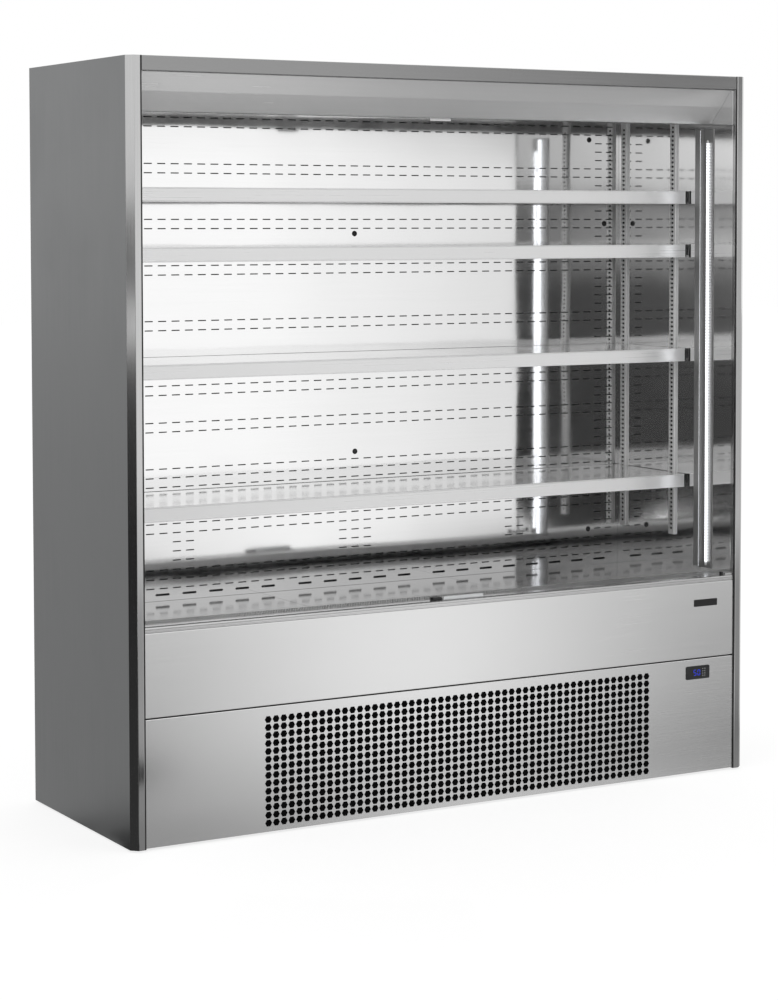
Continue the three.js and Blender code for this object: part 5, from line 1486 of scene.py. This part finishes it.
def fins(name, low, high, pitch):
    """Thin upright sheets side by side in a box."""
    count = int((high[0] - low[0]) / pitch)
    start = (low[0] + high[0] - count * pitch) / 2
    sheet = prism("fin", rectangle(low[1:], high[1:]), "x", -FIN_SHEET / 2, FIN_SHEET / 2)
    return copied(name, sheet, [(start + (i + 0.5) * pitch, 0, 0) for i in range(count)], fin_metal)


def pipe(name, route, bend, radius, sides=12):
    """A round tube along a route whose corners are bent to an arc, closed at its ends."""
    points = rounded(route, bend, closed=False, step=15)
    ring = disc(0, 0, radius, sides)
    shape = bmesh.new()
    rings = []
    across = (points[1] - points[0]).normalized().orthogonal().normalized()
    for i, here in enumerate(points):
        back = (here - points[max(i - 1, 0)]).normalized()
        ahead = (points[min(i + 1, len(points) - 1)] - here).normalized()
        along = (back + ahead).normalized()
        across = (across - across.dot(along) * along).normalized()
        other = along.cross(across)
        rings.append([shape.verts.new(here + across * a + other * b) for a, b in ring])
    for first, second in zip(rings, rings[1:]):
        for k in range(sides):
            shape.faces.new((first[k], first[(k + 1) % sides], second[(k + 1) % sides], second[k]))
    shape.faces.new(rings[0])
    shape.faces.new(rings[-1])
    bmesh.ops.recalc_face_normals(shape, faces=shape.faces)
    return made_of(name, shape)


HAIRPIN = (0.028, 0.0133, 0.005)  # its height, reach and tube radius


def hairpin(x, y, z, side):
    """A return bend that joins two tubes one over the other, outside an end plate."""
    half, reach, radius = HAIRPIN[0] / 2, HAIRPIN[1], HAIRPIN[2]
    route = [(x - side * 0.004, y, z - half), (x + side * reach, y, z - half),
             (x + side * reach, y, z + half), (x - side * 0.004, y, z + half)]
    return pipe("hairpin", route, half * 0.98, radius, 10)


block_low, block_high = Vector((-0.46, -0.25, 0.0158)), Vector((-0.04, -0.184, 0.2458))
fin_margin = Vector((0.002, 0, 0.006))
fitted(fins("condenser_fins", block_low + fin_margin, block_high - fin_margin, FIN_PITCH), fin_metal,
       "root", "aluminium", "condenser")
frame_parts = []
for x in (block_low.x, block_high.x):
    frame_parts.append(plate("end", (x - 0.0008, block_low.y - 0.0025, block_low.z),
                             (x + 0.0008, block_high.y + 0.0025, block_high.z)))
for z in (block_low.z + 0.001, block_high.z - 0.0042):
    frame_parts.append(plate("rail", (block_low.x, block_low.y - 0.001, z),
                             (block_high.x, block_high.y + 0.001, z + 0.003)))
fitted(joined("condenser_frame", frame_parts), zinc, "root", "zinc_sheet")
HAIRPIN_PITCH = 0.046
THIN_PIPE = 0.0048  # radius of the liquid and discharge lines
REAR_X = 0.768  # where the lines to the coil rise, right of the well
COIL_END = 0.7003
pipe_x = block_high.x + 0.042  # both thin lines turn here
pipe_y = (block_low.y + block_high.y) / 2
liquid = [(block_high.x, pipe_y, 0.0398), (pipe_x, pipe_y, 0.0398), (pipe_x, 0.095, 0.0398),
          (REAR_X, 0.095, 0.0398), (REAR_X, 0.095, 0.409), (COIL_END, 0.095, 0.409)]
tubes = [hairpin(block_high.x, pipe_y, block_low.z + HAIRPIN_PITCH * i, 1) for i in range(1, 5)]
tubes.append(pipe("liquid", liquid, 0.02, THIN_PIPE))
fitted(joined("condenser_tubes", tubes), copper_tube, "root", "copper_pipe")

# ---------------- condenser shroud and fan motors

# A galvanised box behind the condenser draws the air through one round mouth. The motors hang on
# flat bars across the mouths, and turn the rotors on short shafts.
MOUTH_RIM = 0.010
MOTOR = (0.0258, 0.034)  # radius and length
MOTOR_GAP = 0.004
BAR = (0.010, 0.003, 0.012)  # height, thickness, and reach past the mouth
FAN_DEPTH = 0.022
SHAFT = 0.0038
motor_black = moulded("motor_enamel", "202224", 0.34)


def mouth(x, y, z, radius):
    """A drawn collar round a fan's hole, forwards from the sheet."""
    profile = [(radius + 0.0035, 0), (radius + 0.0006, 0.0012), (radius + 0.0002, MOUTH_RIM),
               (radius + 0.0014, MOUTH_RIM), (radius + 0.0018, 0.0022), (radius + 0.0035, 0.0014)]
    return turned("mouth", profile + [profile[0]], 56, facing_front(x, y, z))


def hung_motor(name, x, z, hub_front, plate_back, radius):
    """A motor with a ribbed can on its cross bar, behind a fan's mouth."""
    front = hub_front + FAN_DEPTH + MOTOR_GAP
    r, length = MOTOR
    can_profile = [(0, 0), (0.009, 0), (0.0105, 0.0012), (0.022, 0.002), (r - 0.001, 0.005), (r, 0.0062)]
    for i in range(5):
        rib = 0.009 + i * 0.0042
        can_profile += [(r, rib), (r - 0.0012, rib + 0.0006), (r - 0.0012, rib + 0.0018), (r, rib + 0.0024)]
    can_profile += [(r, length - 0.003), (r - 0.003, length), (0, length)]
    to_back = facing_back(x, front, z)
    start = hub_front + FAN_DEPTH / 2 + 0.001 - front
    shaft = turned("shaft", [(0, start), (SHAFT, start), (SHAFT, 0.001), (0, 0.001)], 20, to_back)
    fitted(joined(f"{name}_can", [turned("can", can_profile, 36, to_back), shaft]), motor_black, "root",
           "black_plastic")
    reach = radius + BAR[2]
    bar_back = front + 0.002 + BAR[1]
    path = [(x + reach, plate_back), (x + reach, bar_back), (x - reach, bar_back), (x - reach, plate_back)]
    strap = folded(f"{name}_bar", path, 0.0024, 0.003, "z", z - BAR[0] / 2, z + BAR[0] / 2)
    fitted(strap, zinc, "root", "zinc_sheet")


low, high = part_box("condenser_shroud")
shroud_back = low.y + 0.046
wall = 0.0015
centre_x, centre_z = FANS["condenser_fan"][:2]
mouth_radius = 0.103
back_sheet = prism("back", rectangle((low.x, low.z), (high.x, high.z)), "y", shroud_back - wall,
                   shroud_back)
punch(back_sheet, punch_circles, (2 * mouth_radius, 0.01),
      [(centre_x, shroud_back - wall / 2, centre_z)], zinc)
walls = [plate("side", (low.x, low.y, low.z), (low.x + wall, shroud_back, high.z)),
         plate("side", (high.x - wall, low.y, low.z), (high.x, shroud_back, high.z)),
         plate("side", (low.x, low.y, low.z), (high.x, shroud_back, low.z + wall)),
         plate("side", (low.x, low.y, high.z - wall), (high.x, shroud_back, high.z))]
walls.append(mouth(centre_x, shroud_back - wall, centre_z, mouth_radius - 0.0006))
shroud = joined("condenser_shroud_sheet", [back_sheet] + walls)
fitted(shroud, zinc, "root", "zinc_sheet", "condenser_shroud")
hung_motor("condenser_motor", centre_x, centre_z, shroud_back - FAN_DEPTH, shroud_back, mouth_radius)

# ---------------- evaporator fan plate

# The plate is folded from galvanised sheet and stands on the well's floor under the fronts of the
# decks. Two fans blow through the collars in it.
low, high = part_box("evaporator_fan_plate")
path = [(low.y + 0.02, high.z), (low.y, high.z), (low.y, low.z)]
fan_plate = folded("fan_plate", path, SHEET, 0.0028, "x", low.x, high.x)
fan_x, fan_z = FANS["evaporator_fan_2"][:2]
hole_radius = 0.063
hole_places = [(x, low.y + SHEET / 2, fan_z) for x in (-fan_x, fan_x)]
punch(fan_plate, punch_circles, (2 * hole_radius, 0.01), hole_places, zinc)
mouths = [mouth(x, low.y, fan_z, hole_radius - 0.0006) for x in (-fan_x, fan_x)]
fitted(joined("evaporator_fan_plate_sheet", [fan_plate] + mouths), zinc, "root", "zinc_sheet",
       "evaporator_fan_plate")
for number, x in ((1, -fan_x), (2, fan_x)):
    hung_motor(f"evaporator_motor_{number}", x, fan_z, low.y - FAN_DEPTH / 2, low.y + SHEET, hole_radius)

# ---------------- evaporator coil

# Aluminium fins on copper tubes lie in the well between folded carrier plates, which also bear
# the joints of the deck plates.
COIL_PITCH = 0.006
COIL_LOW, COIL_HIGH = Vector((-0.7, -0.03, 0.3843)), Vector((0.7, 0.14, 0.4943))
CARRIER_X = 0.688
CARRIER_LAP = 0.012
fitted(fins("evaporator_fins", COIL_LOW, COIL_HIGH, COIL_PITCH), fin_metal, "root", "aluminium",
       "evaporator_coil")
low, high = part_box("evaporator_coil")
joint_x = (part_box("deck_plate_middle")[1].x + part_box("deck_plate_right")[0].x) / 2
carriers = []
for x in (-CARRIER_X, -joint_x, joint_x, CARRIER_X):
    path = [(x - CARRIER_LAP, high.z), (x, high.z), (x, low.z)]
    carriers.append(folded("carrier", path, SHEET, 0.0024, "y", low.y, high.y))
    carriers.append(plate("lap", (x, low.y, high.z - SHEET), (x + CARRIER_LAP, high.y, high.z)))
fitted(joined("coil_carriers", carriers), zinc, "root", "zinc_sheet")
coil_tubes = []
middle_y = (COIL_LOW.y + COIL_HIGH.y) / 2
for rise in (0.033, 0.077):
    for y in (middle_y - 0.034, middle_y + 0.034):
        z = COIL_LOW.z + rise
        coil_tubes.append(hairpin(COIL_LOW.x, y, z, -1))
        for tube_z in (z - HAIRPIN[0] / 2, z + HAIRPIN[0] / 2):
            route = [(x, y, tube_z) for x in (COIL_LOW.x, 0, COIL_HIGH.x)]
            coil_tubes.append(pipe("straight", route, 0, HAIRPIN[2], 10))
fitted(joined("coil_tubes", coil_tubes), copper_tube, "root", "copper_pipe")

# ---------------- compressor

# A hermetic compressor: two drawn shells welded round their middle, black enamelled, on a plate
# with four rubber grommets. Its terminals are under a plastic cover.
POT = (0.21, -0.03, 0.0298)  # the middle of its base plate
POT_SEAM = 0.0878
POT_PROFILE = [(0, 0), (0.062, 0), (0.076, 0.006), (0.083, 0.018), (0.0862, 0.04), (0.0866, 0.088),
               (POT_SEAM, 0.0892), (POT_SEAM, 0.0968), (0.0866, 0.098), (0.086, 0.138), (0.0815, 0.161),
               (0.0705, 0.177), (0.05, 0.1865), (0.024, 0.1895), (0, 0.19)]
BASE_HALF = 0.0028
GROMMET_PLACE = 0.072
GROMMET = [(0, 0), (0.0118, 0), (0.0118, 0.0035), (0.009, 0.0045), (0.009, 0.008), (0.0116, 0.009),
           (0.0116, 0.0113), (0, 0.0113)]
enamel = moulded("compressor_enamel", "191a1b", 0.26, 0.00005, 0.35)
pot = turned("pot", POT_PROFILE, 64, Matrix.Translation(POT))
base_ring = rectangle((POT[0] - POT_SEAM, POT[1] - POT_SEAM), (POT[0] + POT_SEAM, POT[1] + POT_SEAM))
base = prism("base", rounded(base_ring, 0.02), "z", POT[2] - BASE_HALF, POT[2] + BASE_HALF)
suction_x, discharge_x = POT[0] + 0.044, POT[0] - 0.044
sockets = []
for x, r in ((suction_x, 0.0082), (discharge_x, 0.0064)):
    profile = [(0, 0.128), (r + 0.003, 0.128), (r + 0.003, 0.18), (r + 0.0006, 0.186), (0, 0.186)]
    sockets.append(turned("socket", profile, 24, Matrix.Translation((x, POT[1], POT[2]))))
fitted(joined("compressor_pot", [pot, softened(base, 0.0008)] + sockets), enamel, "root",
       "compressor_black", "compressor")
grommets = [turned("grommet", GROMMET, 24, Matrix.Translation(
    (POT[0] + side_x * GROMMET_PLACE, POT[1] + side_y * GROMMET_PLACE, 0.0158)))
    for side_x in (-1, 1) for side_y in (-1, 1)]
fitted(joined("compressor_grommets", grommets), foot_rubber, "root", "foot_rubber")
cover = plate("terminal_cover", (0.1002, -0.0598, 0.0872), (0.1498, -0.0002, 0.1526))
fitted(softened(cover, 0.005, 3), black_plastic, "root", "black_plastic")
discharge = [(discharge_x, POT[1], POT[2] + 0.15), (discharge_x, POT[1], 0.2598), (pipe_x, POT[1], 0.2598),
             (pipe_x, pipe_y, 0.2598), (pipe_x, pipe_y, 0.2258), (block_high.x + 0.0013, pipe_y, 0.2258)]
stub = pipe("stub", [(suction_x, POT[1], z) for z in (POT[2] + 0.15, 0.2, 0.2318)], 0, 0.0078)
fitted(joined("discharge_line", [pipe("discharge", discharge, 0.0168, THIN_PIPE), stub]), copper_tube,
       "root", "copper_pipe")

# ---------------- suction line

# A thicker copper line, bent from one tube, comes back from the coil through the well's floor and
# is brazed on the compressor's stub.
suction = [(suction_x, POT[1], 0.2321), (suction_x, POT[1], 0.2738), (REAR_X, POT[1], 0.2738),
           (REAR_X, 0.055, 0.2738), (REAR_X, 0.055, 0.439), (COIL_END, 0.055, 0.439)]
fitted(pipe("suction_tube", suction, 0.034, 0.0077, 16), copper_tube, "root", "copper_pipe", "suction_line")

# ---------------- electrical box and defrost tray

# The box behind the controller is moulded in grey plastic, with a screwed lid. The tray beside
# the condenser is a shallow black moulding.
grey_plastic = moulded("grey_plastic", "8d9092", 0.45)
low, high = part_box("electrical_box")
LAP = 0.004  # by which the lid stands past the box
box_body = plate("body", (low.x + LAP, low.y + 0.003, low.z), (high.x - LAP, high.y, high.z - LAP))
box_lid = plate("lid", (low.x, low.y, low.z), (high.x, low.y + 0.012, high.z))
box_parts = [softened(box_body, 0.002), softened(box_lid, 0.003, 3)]
fitted(joined("electrical_box_shell", box_parts), grey_plastic, "root", "grey_plastic", "electrical_box")
fitted(eased("drip_tray", "defrost_tray", 0.0008), black_plastic, "root", "black_plastic", "drip_tray")

# ---------------- rear cover

# The machine room is closed at the back by a sheet with three columns of pressed louvres, screwed
# along its edges. A gland for the mains lead sits near its right end.
LOUVRE = (0.150, 0.006)
LOUVRE_PITCH = (0.225, 0.026)
LOUVRE_ROWS = 7
low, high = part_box("machine_rear_cover")
cover_back = 0.326
middle_z = (low.z + high.z) / 2
louvres = []
for side in (-1, 0, 1):
    for row in range(LOUVRE_ROWS):
        z = middle_z + (row - (LOUVRE_ROWS - 1) / 2) * LOUVRE_PITCH[1] + LOUVRE[1] / 2
        louvres.append((side * LOUVRE_PITCH[0], cover_back - SHEET / 2, z))
cover_sheet = prism("rear_sheet", rectangle((low.x, low.z), (high.x, high.z)), "y", cover_back - SHEET,
                    cover_back)
cover_zinc = metal("plain_zinc_sheet", "b9b9b9", "b0b0b0", 0.42, grain=(40, 40, 40), wave=(2, 0.001),
                   haze=(4, 0.1))
punch(cover_sheet, punch_slots, LOUVRE, louvres, cover_zinc)
fitted(cover_sheet, cover_zinc, "root", "zinc_sheet", "machine_rear_cover")
HOOD = [(-0.0002, 0.0052), (0.00154, 0.0042), (0.00252, 0.0012), (0.0028, -0.0034), (0.002, -0.0034),
        (0.00168, 0.0008), (-0.0002, 0.0032)]
hood = prism("hood", HOOD, "x", -LOUVRE[0] / 2 - 0.001, LOUVRE[0] / 2 + 0.001)
hoods = copied("louvre_hoods", hood, [(x, cover_back, z) for x, y, z in louvres], cover_zinc)
fitted(hoods, cover_zinc, "root", "zinc_sheet")
SCREW_PROFILE = [(0, 0), (0.0036, 0), (0.0036, 0.0006), (0.003, 0.0013), (0.0018, 0.0017), (0, 0.0018)]
screw = turned("screw", SCREW_PROFILE, 16, facing_back(0, 0, 0))
screw_places = [(x, cover_back, z) for x in (-0.9, -0.45, 0, 0.45, 0.9)
                for z in (low.z + 0.014, high.z - 0.014)]
screw_metal = metal("screw_zinc", "c6c6c6", "b0b0b0", 0.3, grain=(300, 300, 300), haze=(20, 0.1))
fitted(copied("rear_cover_screws", screw, screw_places, screw_metal), screw_metal, "root", "zinc_sheet")
GLAND_X = 0.77
gland_profile = [(0.0045, 0), (0.0102, 0), (0.0112, 0.0012), (0.0112, 0.017), (0.0118, 0.0172),
                 (0.0118, 0.0195), (0.0088, 0.0212), (0.0065, 0.0217), (0.005, 0.0217), (0.0045, 0.021),
                 (0.0045, 0)]
gland = turned("cable_gland", gland_profile, 36, facing_back(GLAND_X, low.y, middle_z))
fitted(gland, black_plastic, "root", "black_plastic")
